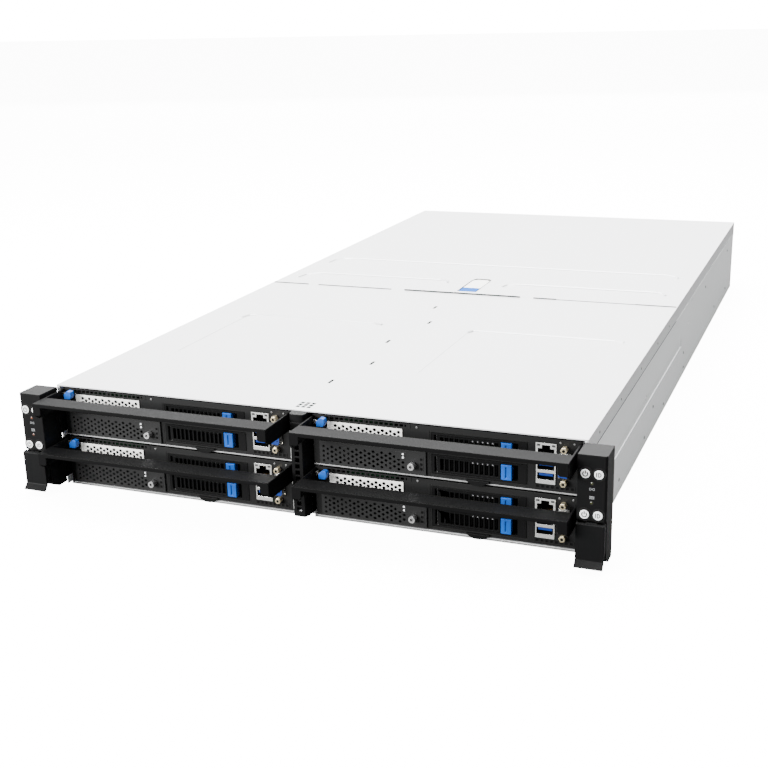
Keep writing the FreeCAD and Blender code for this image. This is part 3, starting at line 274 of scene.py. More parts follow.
GROUP_MAKERS: dict[Pattern, Callable[[], bpy.types.NodeTree]] = {
    Pattern.GRAIN: make_grain_group,
    Pattern.ROLLED: make_rolled_group,
    Pattern.SPANGLE: make_spangle_group,
    Pattern.TRACKS: make_track_group,
}
groups: dict[object, bpy.types.NodeTree] = {}
materials: dict[str, bpy.types.Material] = {}


def shared_group(key: object, maker: Callable[[], bpy.types.NodeTree]) -> bpy.types.NodeTree:
    """Returns a node group, made the first time it is asked for."""
    if key not in groups:
        groups[key] = maker()
    return groups[key]


@dataclass(frozen=True)
class Finish:
    """One surface finish: colour, gloss, pattern, relief, and lighter edges that are partly rubbed
    bare and partly a painted highlight.
    """

    name: str
    colour: Colour
    gloss: float
    metallic: float = 0.0
    pattern: Pattern = Pattern.GRAIN
    patch: float = 0.10
    gloss_spread: float = 0.08
    grain_scale: float = 1500.0
    relief: float = 0.04
    relief_deep: float = 0.00008
    # lighter edges: partly rubbed bare, partly a painted highlight
    rub_and_highlight: float = 0.0
    rubbed_and_highlit: Colour = (0.35, 0.35, 0.35)
    reach: float = 0.0004
    specular: float = 0.5
    coat: float = 0.0
    second: Colour = (0.3, 0.3, 0.3)
    glow: float = 0.0

    def material(self) -> bpy.types.Material:
        """Returns the finish's material, made the first time it is asked for."""
        if self.name not in materials:
            materials[self.name] = self.build()
        return materials[self.name]

    def build(self) -> bpy.types.Material:
        """Wires the pattern group, and the group for rubbed edges with painted highlight, into a
        Principled shader.

        Returns:
            The new material.
        """
        made = bpy.data.materials.new(self.name)
        made.use_nodes = True
        made.node_tree.nodes.clear()
        wires = Wiring(made.node_tree)
        place = wires.add("ShaderNodeTexCoord").outputs["Object"]
        base = self.colour
        pattern = wires.add("ShaderNodeGroup", {
            "node_tree": shared_group(self.pattern, GROUP_MAKERS[self.pattern])},
            Vector=place, Base=base, Gloss=self.gloss)
        if self.pattern is Pattern.TRACKS:
            wires.feed(pattern.inputs["Track"], self.second)
        else:
            wires.feed(pattern.inputs["Patch"], self.patch)
            wires.feed(pattern.inputs["Gloss Spread"], self.gloss_spread)
        if self.pattern is Pattern.GRAIN:
            wires.feed(pattern.inputs["Grain Scale"], self.grain_scale)
        shade = pattern.outputs["Shade"]
        # edges lightened, partly rubbed bare and partly a painted highlight
        if self.rub_and_highlight:
            rubbed_and_highlit = wires.add("ShaderNodeGroup", {
                "node_tree": shared_group("rub_and_highlight", make_rub_and_highlight_group)},
                Vector=place, Base=shade, Worn=self.rubbed_and_highlit, Amount=self.rub_and_highlight, Reach=self.reach)
            shade = rubbed_and_highlit.outputs["Shade"]
        bump = wires.add("ShaderNodeBump", Strength=self.relief, Distance=self.relief_deep,
                         Height=pattern.outputs["Relief"])
        shader = wires.add("ShaderNodeBsdfPrincipled", Base_Color=shade,
                           Roughness=pattern.outputs["Rough"], Metallic=self.metallic,
                           Normal=bump.outputs[0])
        shader.inputs["Specular IOR Level"].default_value = self.specular
        shader.inputs["Coat Weight"].default_value = self.coat
        if self.glow:
            wires.feed(shader.inputs["Emission Color"], self.colour)
            shader.inputs["Emission Strength"].default_value = self.glow
        leave = wires.add("ShaderNodeOutputMaterial")
        wires.feed(leave.inputs["Surface"], shader.outputs[0])
        return made


# The edge tones given in these finishes are partly rubbed bare edges and partly a painted
# highlight.
COVER_SHEET = Finish("cover_sheet", (0.74, 0.745, 0.75), 0.34, 0.55, Pattern.ROLLED, 0.05,
                     0.10, relief=0.03, rub_and_highlight=0.25, rubbed_and_highlit=(0.9, 0.9, 0.9))
SIDE_SHEET = Finish("side_sheet", (0.78, 0.79, 0.79), 0.45, 0.12, Pattern.ROLLED, 0.07,
                    0.12, relief=0.04, rub_and_highlight=0.25, rubbed_and_highlit=(0.85, 0.85, 0.85))
ZINC = Finish("zinc_sheet", (0.62, 0.63, 0.64), 0.38, 0.8, Pattern.SPANGLE, 0.16, 0.16,
              relief=0.05, rub_and_highlight=0.3, rubbed_and_highlit=(0.8, 0.8, 0.8))
BLACK_PAINT = Finish("black_paint", (0.0016, 0.0016, 0.0017), 0.55, patch=0.25, grain_scale=2600.0,
                     relief=0.10, rub_and_highlight=0.25, rubbed_and_highlit=(0.016, 0.016, 0.016), specular=0.06)
BLACK_MOULDING = Finish("black_moulding", (0.0030, 0.0030, 0.0031), 0.46, patch=0.2,
                        grain_scale=2200.0, relief=0.16, rub_and_highlight=0.30, rubbed_and_highlit=(0.02, 0.02, 0.02),
                        specular=0.08)
FACE_PAINT = Finish("face_paint", (0.0014, 0.0014, 0.0014), 0.55, patch=0.3, grain_scale=2600.0,
                    relief=0.10, rub_and_highlight=0.30, rubbed_and_highlit=(0.03, 0.03, 0.03), specular=0.2)
CARD_FACE = Finish("card_face", (0.0042, 0.0042, 0.0043), 0.5, patch=0.2, grain_scale=2600.0,
                   relief=0.08, rub_and_highlight=0.35, rubbed_and_highlit=(0.05, 0.05, 0.05), specular=0.3)
SHADED_STEEL = Finish("shaded_steel", (0.16, 0.16, 0.16), 0.5, 0.3, patch=0.1, relief=0.03)
BLUE_PAD = Finish("blue_pad", (0.0, 0.075, 0.32), 0.6, patch=0.08, relief=0.04, specular=0.05)
DEEP_SHADE = Finish("deep_shade", (0.0008, 0.0008, 0.0008), 0.8, patch=0.1, specular=0.1)
BLUE_TOUCH = Finish("blue_touch", (0.0, 0.060, 0.30), 0.42, patch=0.10, grain_scale=1800.0,
                    relief=0.10, rub_and_highlight=0.2, rubbed_and_highlit=(0.02, 0.16, 0.60), specular=0.3)
BLUE_PORT = Finish("blue_port", (0.0, 0.022, 0.16), 0.4, patch=0.1, specular=0.4)
BAY_ZINC = Finish("bay_zinc", (0.30, 0.30, 0.30), 0.45, 0.5, Pattern.SPANGLE, 0.16, 0.16,
                  relief=0.05)
NICKEL = Finish("nickel_plate", (0.93, 0.92, 0.88), 0.36, 0.10, Pattern.ROLLED, 0.05, 0.1,
                relief=0.03, rub_and_highlight=0.2, rubbed_and_highlit=(0.95, 0.95, 0.9))
SHELL = Finish("connector_shell", (0.78, 0.78, 0.76), 0.26, 0.75, Pattern.ROLLED, 0.08, 0.1,
               relief=0.03, rub_and_highlight=0.3, rubbed_and_highlit=(0.9, 0.9, 0.9))
BRASS = Finish("gilt_screw", (0.78, 0.68, 0.46), 0.28, 0.85, patch=0.1, relief=0.03)
# Painted shade: a darkened copy of the screw steel, for screw heads on the sled face and the thumb
# screw's knurled rim.
SHADOWED_SCREW_STEEL = Finish("shadowed_screw_steel", (0.20, 0.20, 0.20), 0.32, 0.8, patch=0.1, relief=0.03)
STEEL = Finish("screw_steel", (0.74, 0.74, 0.73), 0.26, 0.85, patch=0.1, relief=0.03, rub_and_highlight=0.3,
               rubbed_and_highlit=(0.9, 0.9, 0.9))
SPRING = Finish("spring_strip", (0.72, 0.71, 0.68), 0.24, 0.9, Pattern.ROLLED, 0.08, 0.1,
                relief=0.03)
WHITE_BUTTON = Finish("white_button", (0.84, 0.85, 0.85), 0.36, patch=0.04, relief=0.03,
                      coat=0.2)
MARK = Finish("mark_ink", (0.006, 0.0062, 0.0066), 0.5, patch=0.1, specular=0.2)
GREY_MARK = Finish("grey_mark", (0.022, 0.023, 0.025), 0.5, patch=0.1)
PALE_MARK = Finish("pale_mark", (0.16, 0.165, 0.17), 0.5, patch=0.1)
AMBER = Finish("amber_lamp", (0.10, 0.022, 0.004), 0.25, patch=0.1, coat=0.3)
OLIVE = Finish("olive_lamp", (0.020, 0.022, 0.002), 0.25, patch=0.1, coat=0.3)
GREEN_LAMP = Finish("green_lamp", (0.05, 0.45, 0.10), 0.25, patch=0.1, coat=0.6, glow=0.3)
CLEAR_LAMP = Finish("clear_lamp", (0.75, 0.76, 0.76), 0.25, patch=0.1, coat=0.4, glow=0.25)
SOLDER_MASK = Finish("solder_mask", (0.008, 0.050, 0.022), 0.36, pattern=Pattern.TRACKS,
                     relief=0.2, second=(0.03, 0.16, 0.06))
BOARD_PLUG = Finish("plug_moulding", (0.02, 0.02, 0.022), 0.5, patch=0.15)
FIN_METAL = Finish("fin_metal", (0.70, 0.71, 0.72), 0.34, 0.9, Pattern.ROLLED, 0.1, 0.1,
                   relief=0.04)
CHIP = Finish("chip_body", (0.018, 0.018, 0.018), 0.55, patch=0.2)
GOLD = Finish("gold_contact", (0.85, 0.62, 0.25), 0.25, 0.95, patch=0.08)
CAN_METAL = Finish("capacitor_can", (0.70, 0.70, 0.70), 0.3, 0.8, patch=0.1)
DRIVE_CASE = Finish("drive_case", (0.42, 0.43, 0.44), 0.38, 0.8, Pattern.ROLLED, 0.1, 0.1,
                    relief=0.05)
FAN_BLACK = Finish("fan_moulding", (0.018, 0.018, 0.019), 0.5, patch=0.2, relief=0.12)


# ---------------------------------------------------------------- mesh tools

AXES = {
    "x": Matrix.Rotation(math.pi / 2, 4, "Y"),
    "y": Matrix.Rotation(-math.pi / 2, 4, "X"),
    "z": Matrix.Identity(4),
}


class Shape:
    """A mesh in the making, in millimetres from a local corner."""

    def __init__(self) -> None:
        """Starts an empty mesh."""
        self.bm = bmesh.new()

    def round_off(self, verts: Iterable[bmesh.types.BMVert], offset: float,
                  segments: int = 2) -> None:
        """Bevels every edge between the given vertices."""
        chosen = set(verts)
        edges = [e for e in self.bm.edges if e.verts[0] in chosen and e.verts[1] in chosen]
        bmesh.ops.bevel(self.bm, geom=edges, offset=offset, segments=segments, profile=0.5,
                        affect="EDGES", material=-1)

    def block(self, low: Point, high: Point, bevel: float = 0.0, segments: int = 1) -> "Shape":
        """Adds a box from one corner to the other, with its edges rounded."""
        low_corner, high_corner = Vector(low), Vector(high)
        middle = (low_corner + high_corner) / 2
        span = high_corner - low_corner
        made = bmesh.ops.create_cube(
            self.bm, size=1.0, matrix=Matrix.Translation(middle) @ Matrix.Diagonal((*span, 1.0)))
        if bevel:
            self.round_off(made["verts"], bevel, segments)
        return self

    def rod(self, start: Point, axis: str, radius: float, length: float, sides: int = 24,
            end_radius: float | None = None, bevel: float = 0.0) -> "Shape":
        """Adds a rod or cone that runs from start along a positive axis."""
        turn = AXES[axis]
        middle = Vector(start) + turn @ Vector((0.0, 0.0, length / 2))
        made = bmesh.ops.create_cone(
            self.bm, cap_ends=True, segments=sides, radius1=radius,
            radius2=radius if end_radius is None else end_radius, depth=length,
            matrix=Matrix.Translation(middle) @ turn)
        if bevel:
            rims = [e for e in self.bm.edges if e.verts[0] in made["verts"]
                    and e.calc_face_angle(0.0) > 0.9]
            bmesh.ops.bevel(self.bm, geom=rims, offset=bevel, segments=2, profile=0.5,
                            affect="EDGES", material=-1)
        return self

    def absorb(self, part: bmesh.types.BMesh) -> "Shape":
        """Joins another mesh to the shape and frees it."""
        carrier = bpy.data.meshes.new("carrier")
        part.to_mesh(carrier)
        part.free()
        self.bm.from_mesh(carrier)
        bpy.data.meshes.remove(carrier)
        return self

    def lathe(self, centre: Point, axis: str, profile: Sequence[tuple[float, float]],
              sides: int = 24) -> "Shape":
        """Turns a profile of (radius, height) points about an axis through centre."""
        part = bmesh.new()
        points = [part.verts.new((radius, 0.0, height)) for radius, height in profile]
        edges = [part.edges.new(pair) for pair in zip(points, points[1:])]
        bmesh.ops.spin(part, geom=points + edges, cent=(0, 0, 0), axis=(0, 0, 1),
                       angle=math.tau, steps=sides, use_merge=True)
        bmesh.ops.remove_doubles(part, verts=part.verts[:], dist=1e-4)
        bmesh.ops.transform(part, matrix=Matrix.Translation(Vector(centre)) @ AXES[axis],
                            verts=part.verts[:])
        bmesh.ops.recalc_face_normals(part, faces=part.faces[:])
        return self.absorb(part)

    def thicken(self, faces: Sequence[bmesh.types.BMFace], shift: Point) -> None:
        """Gives a flat sheet its thickness and points its faces outwards."""
        grown = bmesh.ops.extrude_face_region(self.bm, geom=list(faces))
        fresh = [g for g in grown["geom"] if isinstance(g, bmesh.types.BMVert)]
        bmesh.ops.translate(self.bm, verts=fresh, vec=Vector(shift))
        bmesh.ops.recalc_face_normals(self.bm, faces=self.bm.faces[:])

    def windowed(self, lines_x: Sequence[float], lines_z: Sequence[float], front: float,
                 back: float) -> "Shape":
        """Adds an upright plate with a window in every second cell each way.

        Args:
            lines_x: the plate's vertical lines; windows lie between the 2nd and 3rd, 4th and
                5th, and so on.
            lines_z: its horizontal lines, in the same way.
            front: Y of its front face.
            back: Y of its back face.

        Returns:
            The shape.
        """
        across, up = len(lines_x), len(lines_z)
        made = bmesh.ops.create_grid(self.bm, x_segments=across - 1, y_segments=up - 1, size=1.0)
        verts = made["verts"]
        faces = {f for v in verts for f in v.link_faces}
        cell: dict[bmesh.types.BMVert, tuple[int, int]] = {}
        for vert in verts:
            column = round((vert.co.x + 1.0) / 2.0 * (across - 1))
            row = round((vert.co.y + 1.0) / 2.0 * (up - 1))
            cell[vert] = (column, row)
            vert.co = (lines_x[column], front, lines_z[row])
        gone = [f for f in faces if min(cell[v][0] for v in f.verts) % 2 == 1
                and min(cell[v][1] for v in f.verts) % 2 == 1]
        kept = [f for f in faces if f not in gone]
        bmesh.ops.delete(self.bm, geom=gone, context="FACES_ONLY")
        loose = [e for e in self.bm.edges if not e.link_faces]
        bmesh.ops.delete(self.bm, geom=loose, context="EDGES")
        self.thicken(kept, (0.0, back - front, 0.0))
        return self

    def perforated(self, panel: "HolePanel", front: float, back: float) -> "Shape":
        """Adds an upright plate with staggered round holes.

        Args:
            panel: the plate's edges, its holes' spacing and their radius.
            front: Y of its front face.
            back: Y of its back face.

        Returns:
            The shape.
        """
        lines_x, lines_z = panel.lines()
        across, up = len(lines_x), len(lines_z)
        made = bmesh.ops.create_grid(self.bm, x_segments=across - 1, y_segments=up - 1, size=1.0)
        spot: dict[tuple[int, int], bmesh.types.BMVert] = {}
        for vert in made["verts"]:
            column = round((vert.co.x + 1.0) / 2.0 * (across - 1))
            row = round((vert.co.y + 1.0) / 2.0 * (up - 1))
            spot[column, row] = vert
            vert.co = (lines_x[column], front, lines_z[row])
        centres = [spot[place] for place in panel.holes()]
        rims = [(v.co.copy(), [e for f in v.link_faces for e in f.edges if v not in e.verts])
                for v in centres]
        bmesh.ops.delete(self.bm, geom=centres, context="VERTS")
        for middle, rim in rims:
            circle = bmesh.ops.create_circle(
                self.bm, segments=16, radius=panel.radius,
                matrix=Matrix.Translation(middle) @ AXES["y"])["verts"]
            inner = {e for v in circle for e in v.link_edges}
            bmesh.ops.bridge_loops(self.bm, edges=rim + list(inner))
        self.thicken(self.bm.faces[:], (0.0, back - front, 0.0))
        return self

    def ring(self, centre: Point, inner: float, outer: float, front: float, back: float,
             sides: int = 28) -> "Shape":
        """Adds a flat ring that faces the front."""
        x, _, z = centre
        depth = back - front
        return self.lathe((x, front, z), "y", (
            (inner, 0.0), (outer, 0.0), (outer, depth), (inner, depth), (inner, 0.0)), sides)

    def arc(self, centre: Point, radius: float, width: float, start: float, turn: float,
            thick: float, steps: int = 20) -> "Shape":
        """Adds a bent bar in the front plane, from an angle through a turn, in degrees."""
        x, y, z = centre
        half = width / 2
        part = bmesh.new()
        corners = [part.verts.new((x + r * math.cos(math.radians(start)), y + dy,
                                   z + r * math.sin(math.radians(start))))
                   for r, dy in ((radius - half, 0.0), (radius + half, 0.0),
                                 (radius + half, thick), (radius - half, thick))]
        face = part.faces.new(corners)
        bmesh.ops.spin(part, geom=[face, *face.edges, *corners], cent=(x, y, z),
                       axis=(0, -1, 0), angle=math.radians(turn), steps=steps,
                       use_merge=False)
        bmesh.ops.recalc_face_normals(part, faces=part.faces[:])
        return self.absorb(part)

    def ridge(self, path: Sequence[tuple[float, float]], base: float, half: float,
              high: float) -> "Shape":
        """Adds a low pressed ridge that follows a path on a level sheet.

        Args:
            path: (x, y) points of its middle line.
            base: Z of the sheet's surface.
            half: half its width.
            high: its height above the sheet.

        Returns:
            The shape.
        """
        section = ((-half, -0.15), (-half, 0.0), (-half * 0.4, high * 0.9), (0.0, high),
                   (half * 0.5, high * 0.7), (half, 0.0), (half, -0.15))
        part = bmesh.new()
        rows = []
        for number, point in enumerate(path):
            before = Vector(path[max(number - 1, 0)])
            after = Vector(path[min(number + 1, len(path) - 1)])
            along = (after - before).normalized()
            across = Vector((-along.y, along.x))
            rows.append([Vector((*(Vector(point) + across * side), base + up))
                         for side, up in section])
        face = part.faces.new([part.verts.new(place) for place in rows[0]])
        for row in rows[1:]:
            grown = bmesh.ops.extrude_face_region(part, geom=[face])["geom"]
            face = next(g for g in grown if isinstance(g, bmesh.types.BMFace))
            for vert, place in zip(face.verts, row):
                vert.co = place
        bmesh.ops.recalc_face_normals(part, faces=part.faces[:])
        return self.absorb(part)

    def place(self, name: str, finish: Finish, body: str, corner: Point, slot: str,
              bevel: float = 0.0, stands_for: Sequence[str] = ()) -> bpy.types.Object:
        """Makes the shape an object that rides on a CAD body.

        Args:
            name: the piece's name.
            finish: its surface finish.
            body: the CAD body that it moves with.
            corner: where the local corner lies, in millimetres from the front datum.
            slot: the record's material slot; not used.
            bevel: width of a bevel on its sharp edges.
            stands_for: CAD nodes that it replaces.

        Returns:
            The new object.
        """
        matrix = Matrix.Diagonal((MM, MM, MM, 1.0)) @ Matrix.Translation(
            Vector(corner) + Vector((0.0, FRONT, 0.0)))
        bmesh.ops.transform(self.bm, matrix=matrix, verts=self.bm.verts[:])
        mesh = bpy.data.meshes.new(name)
        self.bm.to_mesh(mesh)
        self.bm.free()
        return settle(mesh, name, finish, body, bevel, stands_for)


def settle(mesh: bpy.types.Mesh, name: str, finish: Finish, body: str,
           bevel: float, stands_for: Sequence[str]) -> bpy.types.Object:
    """Links a mesh as a piece, with its finish, bevel and body.

    Returns:
        The new object.
    """
    for polygon in mesh.polygons:
        polygon.use_smooth = True
    mesh.materials.append(finish.material())
    piece = bpy.data.objects.new(name, mesh)
    bpy.context.scene.collection.objects.link(piece)
    if bevel:
        rounding = piece.modifiers.new("rounding", "BEVEL")
        rounding.width = bevel * MM
        rounding.segments = 2
        rounding.limit_method = "ANGLE"
        rounding.angle_limit = math.radians(34)
        rounding.use_clamp_overlap = False
        rounding.harden_normals = True
    else:
        mesh.set_sharp_from_angle(angle=math.radians(34))
    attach(piece, body)
    if stands_for:
        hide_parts(*stands_for)
    return piece


@dataclass
class HolePanel:
    """An upright plate with round holes in staggered columns."""

    left: float
    right: float
    low: float
    high: float
    first_x: float
    first_z: float
    column_step: float
    row_step: float
    columns: int
    rows: int
    radius: float

    def lines(self) -> tuple[list[float], list[float]]:
        """Returns lattice lines half a step apart, with the plate's own edges at the ends."""
        xs = [self.first_x + self.column_step / 2 * n for n in range(-1, 2 * self.columns)]
        zs = [self.first_z + self.row_step / 2 * n for n in range(-1, 2 * self.rows)]
        return [self.left, *xs, self.right], [self.low, *zs, self.high]

    def holes(self) -> list[tuple[int, int]]:
        """Returns the lattice places of the hole centres."""
        return [(2 * column + 2, 2 * row + 2) for column in range(self.columns)
                for row in range(self.rows) if (column + row) % 2 == 0]


class Lifted:
    """A cleaned copy of a CAD node, to be dressed one solid at a time."""

    def __init__(self, node: str, corner: Point = (0.0, 0.0, 0.0)) -> None:
        """Copies the node's mesh and parts it into its separate solids.

        Args:
            node: the CAD node.
            corner: local corner in millimetres from the front datum, for the boxes.
        """
        self.node = node
        self.corner = Vector(corner) + Vector((0.0, FRONT, 0.0))
        self.solids: list[bmesh.types.BMesh] = []
        self.boxes: list[tuple[Vector, Vector]] = []
        self.taken: set[int] = set()
        self.whole = bmesh.new()
        self.whole.from_mesh(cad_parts[node].data)
        self.rims: dict[tuple, list[bmesh.types.BMFace]] = {}
        self.part_solids()
        self.whole.free()

    def part_solids(self) -> None:
        """Follows faces across their edges to find each solid, and keeps a merged copy."""
        same = bmesh.ops.find_doubles(self.whole, verts=self.whole.verts[:],
                                      dist=1e-6)["targetmap"]
        corners = {face: [same.get(v, v) for v in face.verts] for face in self.whole.faces}
        for face, ring in corners.items():
            for pair in zip(ring, ring[1:] + ring[:1]):
                self.rims.setdefault(pair, []).append(face)
        waiting = set(corners)
        while waiting:
            front = [waiting.pop()]
            members = list(front)
            while front:
                face = front.pop()
                ring = corners[face]
                for pair in zip(ring, ring[1:] + ring[:1]):
                    near = self.across(face, pair)
                    if near in waiting:
                        waiting.discard(near)
                        front.append(near)
                        members.append(near)
            self.keep_solid([corners[face] for face in members])

    def across(self, face: bmesh.types.BMFace, pair: tuple) -> bmesh.types.BMFace | None:
        """Returns the face over an edge that bounds the same solid as the given face."""
        others = self.rims.get((pair[1], pair[0]), [])
        if len(others) < 2:
            return others[0] if others else None
        start = pair[0].co
        along = (pair[1].co - start).normalized()

        def outward(item: bmesh.types.BMFace) -> Vector:
            """Direction from the edge into a face, square to the edge."""
            reach = item.calc_center_median() - start
            return (reach - along * reach.dot(along)).normalized()

        own = outward(face)

        def sweep(item: bmesh.types.BMFace) -> float:
            """Angle from the face round to another, through the inside of the solid."""
            reach = outward(item)
            turn = math.atan2(-reach.dot(face.normal), reach.dot(own))
            return turn % math.tau if abs(turn) > 0.01 else math.tau

        return min(others, key=sweep)

    def keep_solid(self, rings: list[list[bmesh.types.BMVert]]) -> None:
        """Keeps one solid as its own merged mesh, with its local box in millimetres."""
        solid = bmesh.new()
        fresh: dict[bmesh.types.BMVert, bmesh.types.BMVert] = {}
        for ring in rings:
            for vert in ring:
                if vert not in fresh:
                    fresh[vert] = solid.verts.new(vert.co)
            if len(set(ring)) == len(ring):
                solid.faces.new([fresh[vert] for vert in ring])
        solid.normal_update()
        bmesh.ops.dissolve_limit(solid, angle_limit=math.radians(0.6),
                                 verts=solid.verts[:], edges=solid.edges[:])
        points = [v.co / MM - self.corner for v in solid.verts]
        self.solids.append(solid)
        self.boxes.append((Vector([min(p[i] for p in points) for i in range(3)]),
                           Vector([max(p[i] for p in points) for i in range(3)])))

    def near(self, *points: Point) -> list[int]:
        """Returns, for each point, the free solid whose box middle lies nearest to it."""
        found = []
        for point in points:
            free = [n for n in range(len(self.boxes)) if n not in found]
            found.append(min(free, key=lambda n: (
                (self.boxes[n][0] + self.boxes[n][1]) / 2 - Vector(point)).length))
        return found

    def rest(self) -> list[int]:
        """Returns the solids that no piece has taken yet."""
        return [n for n in range(len(self.boxes)) if n not in self.taken]

    def dress(self, name: str, finish: Finish, body: str,
              solids: Sequence[int] | None = None, bevel: float = 0.15,
              inside: tuple[Finish, Callable[[Vector], bool]] | None = None,
              ) -> bpy.types.Object:
        """Makes a piece of some of the solids.

        Args:
            name: the piece's name.
            finish: its finish.
            body: the CAD body that it rides on.
            solids: numbers of its solids, or None for all that are left.
            bevel: width of the bevel on its edges, in millimetres.
            inside: a second finish, and a test on a face's local middle that chooses its faces.

        Returns:
            The new object, which stands for the node.
        """
        chosen = self.rest() if solids is None else solids
        self.taken |= set(chosen)
        joined = Shape()
        for number in chosen:
            joined.absorb(self.solids[number])
        if inside:
            for face in joined.bm.faces:
                if inside[1](face.calc_center_median() / MM - self.corner):
                    face.material_index = 1
        mesh = bpy.data.meshes.new(name)
        joined.bm.to_mesh(mesh)
        joined.bm.free()
        piece = settle(mesh, name, finish, body, bevel, [self.node])
        if inside:
            mesh.materials.append(inside[0].material())
        return piece


# ---------------------------------------------------------------- sub-assemblies

def screw_head(shape: Shape, centre: Point, axis_sign: float, axis: str, radius: float,
               high: float) -> None:
    """Adds a pan screw head with a round recess to a shape; its face looks along the axis."""
    x, y, z = centre
    s = axis_sign
    shape.lathe(centre, axis, (
        (0.0, s * high * 0.55), (radius * 0.28, s * high * 0.55), (radius * 0.42, s * high),
        (radius * 0.75, s * high * 0.92), (radius, s * high * 0.45), (radius, 0.0),
        (0.0, 0.0)), 16)


@dataclass
class Chassis:
    """Tub, covers, divider and shelves, with their rivets."""

    half_width: float = 222.0
    rivets: tuple[tuple[float, float], ...] = (
        (276.0, 24.0), (338.0, 7.0), (234.0, 8.5), (460.0, 25.0), (464.0, 8.0), (716.0, 14.0),
        (620.0, 60.0), (830.0, 62.0), (830.0, 12.0), (120.0, 12.0), (60.0, 26.0))
    flange_rivets: tuple[float, ...] = (38.0, 118.0, 205.0, 288.0, 352.0)
    rivet_radius: float = 1.7
    ridge_half: float = 1.5
    ridge_high: float = 1.1
    flange_low: float = 74.5
    flange_run: tuple[float, float] = (6.0, 398.0)
    flange_gap: float = 0.45
    vents: tuple[tuple[float, ...], tuple[float, ...]] = ((-5.2, -0.6, 4.0), (7.6, 12.2, 16.8))
    slots: tuple[tuple[float, float], ...] = (
        (-7.0, 74.0), (5.5, 133.0), (-7.0, 202.0), (6.4, 277.0), (-8.5, 336.0))
    seam_runs: tuple[tuple[float, float, float], ...] = (
        (-221.0, -179.0, 0.6), (-167.0, -81.0, 0.6), (-66.0, 62.0, 1.1), (76.0, 100.0, 0.9),
        (100.0, 181.0, 0.35), (181.0, 221.0, 0.6))
    front_ridges: tuple[tuple[tuple[float, float], ...], ...] = (
        ((-180.0, 246.0), (-177.0, 256.0), (-170.0, 260.0), (-44.0, 260.0), (-35.0, 257.0)),
        ((53.0, 252.0), (56.0, 258.0), (62.0, 260.0), (188.0, 260.0), (197.0, 257.0)))
    rear_ridges: tuple[tuple[tuple[float, float], ...], ...] = (
        ((-206.0, 514.0), (-204.0, 530.0), (-197.0, 541.0), (-184.0, 544.5), (190.0, 544.5),
         (199.0, 541.0), (203.0, 532.0)),
        ((-206.0, 430.0), (-203.0, 446.0), (-195.0, 456.0), (-183.0, 459.0), (-45.0, 459.0),
         (-37.0, 456.0), (-33.0, 449.0)),
        ((30.0, 442.0), (33.0, 452.0), (42.0, 458.0), (55.0, 459.0), (190.0, 459.0),
         (199.0, 456.0), (203.0, 447.0)))

    def build(self) -> None:
        """Dresses the sheets and adds the rivets."""
        tub = Lifted("chassis_tub")
        tub.dress("chassis_sheets", SIDE_SHEET, "chassis", bevel=0.2)
        Lifted("front_cover").dress(
            "front_cover_sheet", COVER_SHEET, "chassis", bevel=0.1,
            inside=(DEEP_SHADE, lambda p: abs(p.x) < 14.0 and 5.0 < p.y < 345.0
                    and 86.6 < p.z < 87.4))
        self.build_divider()
        self.build_rear_cover()
        self.build_rivets()
        self.build_shades()
        self.build_floor_lip()
        self.build_ridges()

    def build_divider(self) -> None:
        """Middle wall, shelves, and the black perforated cap in front."""
        bay = Lifted("bay_frame")
        cap = bay.near((0.0, 1.5, 44.0))
        bay.dress("divider_cap", BLACK_MOULDING, "chassis", cap, 0.25)
        bay.dress("bay_sheets", BAY_ZINC, "chassis", bevel=0.15)

    def build_rear_cover(self) -> None:
        """Sliding cover and its latch with the blue pad."""
        Lifted("rear_cover").dress(
            "rear_cover_sheet", COVER_SHEET, "top_cover", bevel=0.15,
            inside=(DEEP_SHADE, lambda p: abs(p.x) < 11.0 and 408.0 < p.y < 474.0
                    and p.z < 87.4))
        latch = Lifted("cover_latch")
        pad = latch.near((0.0, 421.0, 86.1))
        latch.dress("cover_latch_pad", BLUE_PAD, "top_latch", pad, 0.4)
        latch.dress("cover_latch_lever", NICKEL, "top_latch", bevel=0.3)

    def build_shades(self) -> None:
        """Painted shade: dark plates in and over the cover's vents and slots, under the seam and
        along its side flanges.
        """
        shades = Shape()
        shades.block((-62.0, 4.0, 86.6), (62.0, 395.0, 86.9))
        shades.block((-221.0, 399.0, 86.0), (221.0, 401.0, 86.6))
        for x in self.vents[0]:
            for y in self.vents[1]:
                shades.block((x - 1.5, y - 1.7, 87.0), (x + 1.5, y + 1.7, 87.56))
        for x, y in self.slots:
            shades.block((x - 1.2, y - 4.8, 87.0), (x + 1.2, y + 4.8, 87.56))
        near, far = self.flange_run
        for sign in (-1, 1):
            low_x, high_x = sorted((sign * (self.half_width - 0.1),
                                    sign * (self.half_width + 0.12)))
            shades.block((low_x, near, self.flange_low - self.flange_gap),
                         (high_x, far, self.flange_low))
        shades.place("cover_shades", DEEP_SHADE, "chassis", (0, 0, 0), "zinc_steel")
        # painted shadow: dark strips along the seam's step and round the latch well
        seam = Shape()
        for left, right, high in self.seam_runs:
            seam.block((left, 400.3, 87.2), (right, 400.7, 87.5 + high))
        for x in (-10.4, 10.0):
            seam.block((x, 412.0, 87.2), (x + 0.4, 466.0, 87.75))
        seam.block((-8.0, 472.2, 87.2), (8.0, 472.6, 88.0))
        seam.place("seam_shadow", DEEP_SHADE, "top_cover", (0, 0, 0), "zinc_steel")

    def build_floor_lip(self) -> None:
        """Folded lip of the floor below the lower sleds, painted in shade, with bright strips of
        painted highlight along its edges.
        """
        lip = Shape()
        bright = Shape()
        for left, right in ((-218.0, -8.0), (8.0, 218.0)):
            lip.block((left, 1.2, 0.2), (right, 6.2, 2.2), 0.15)
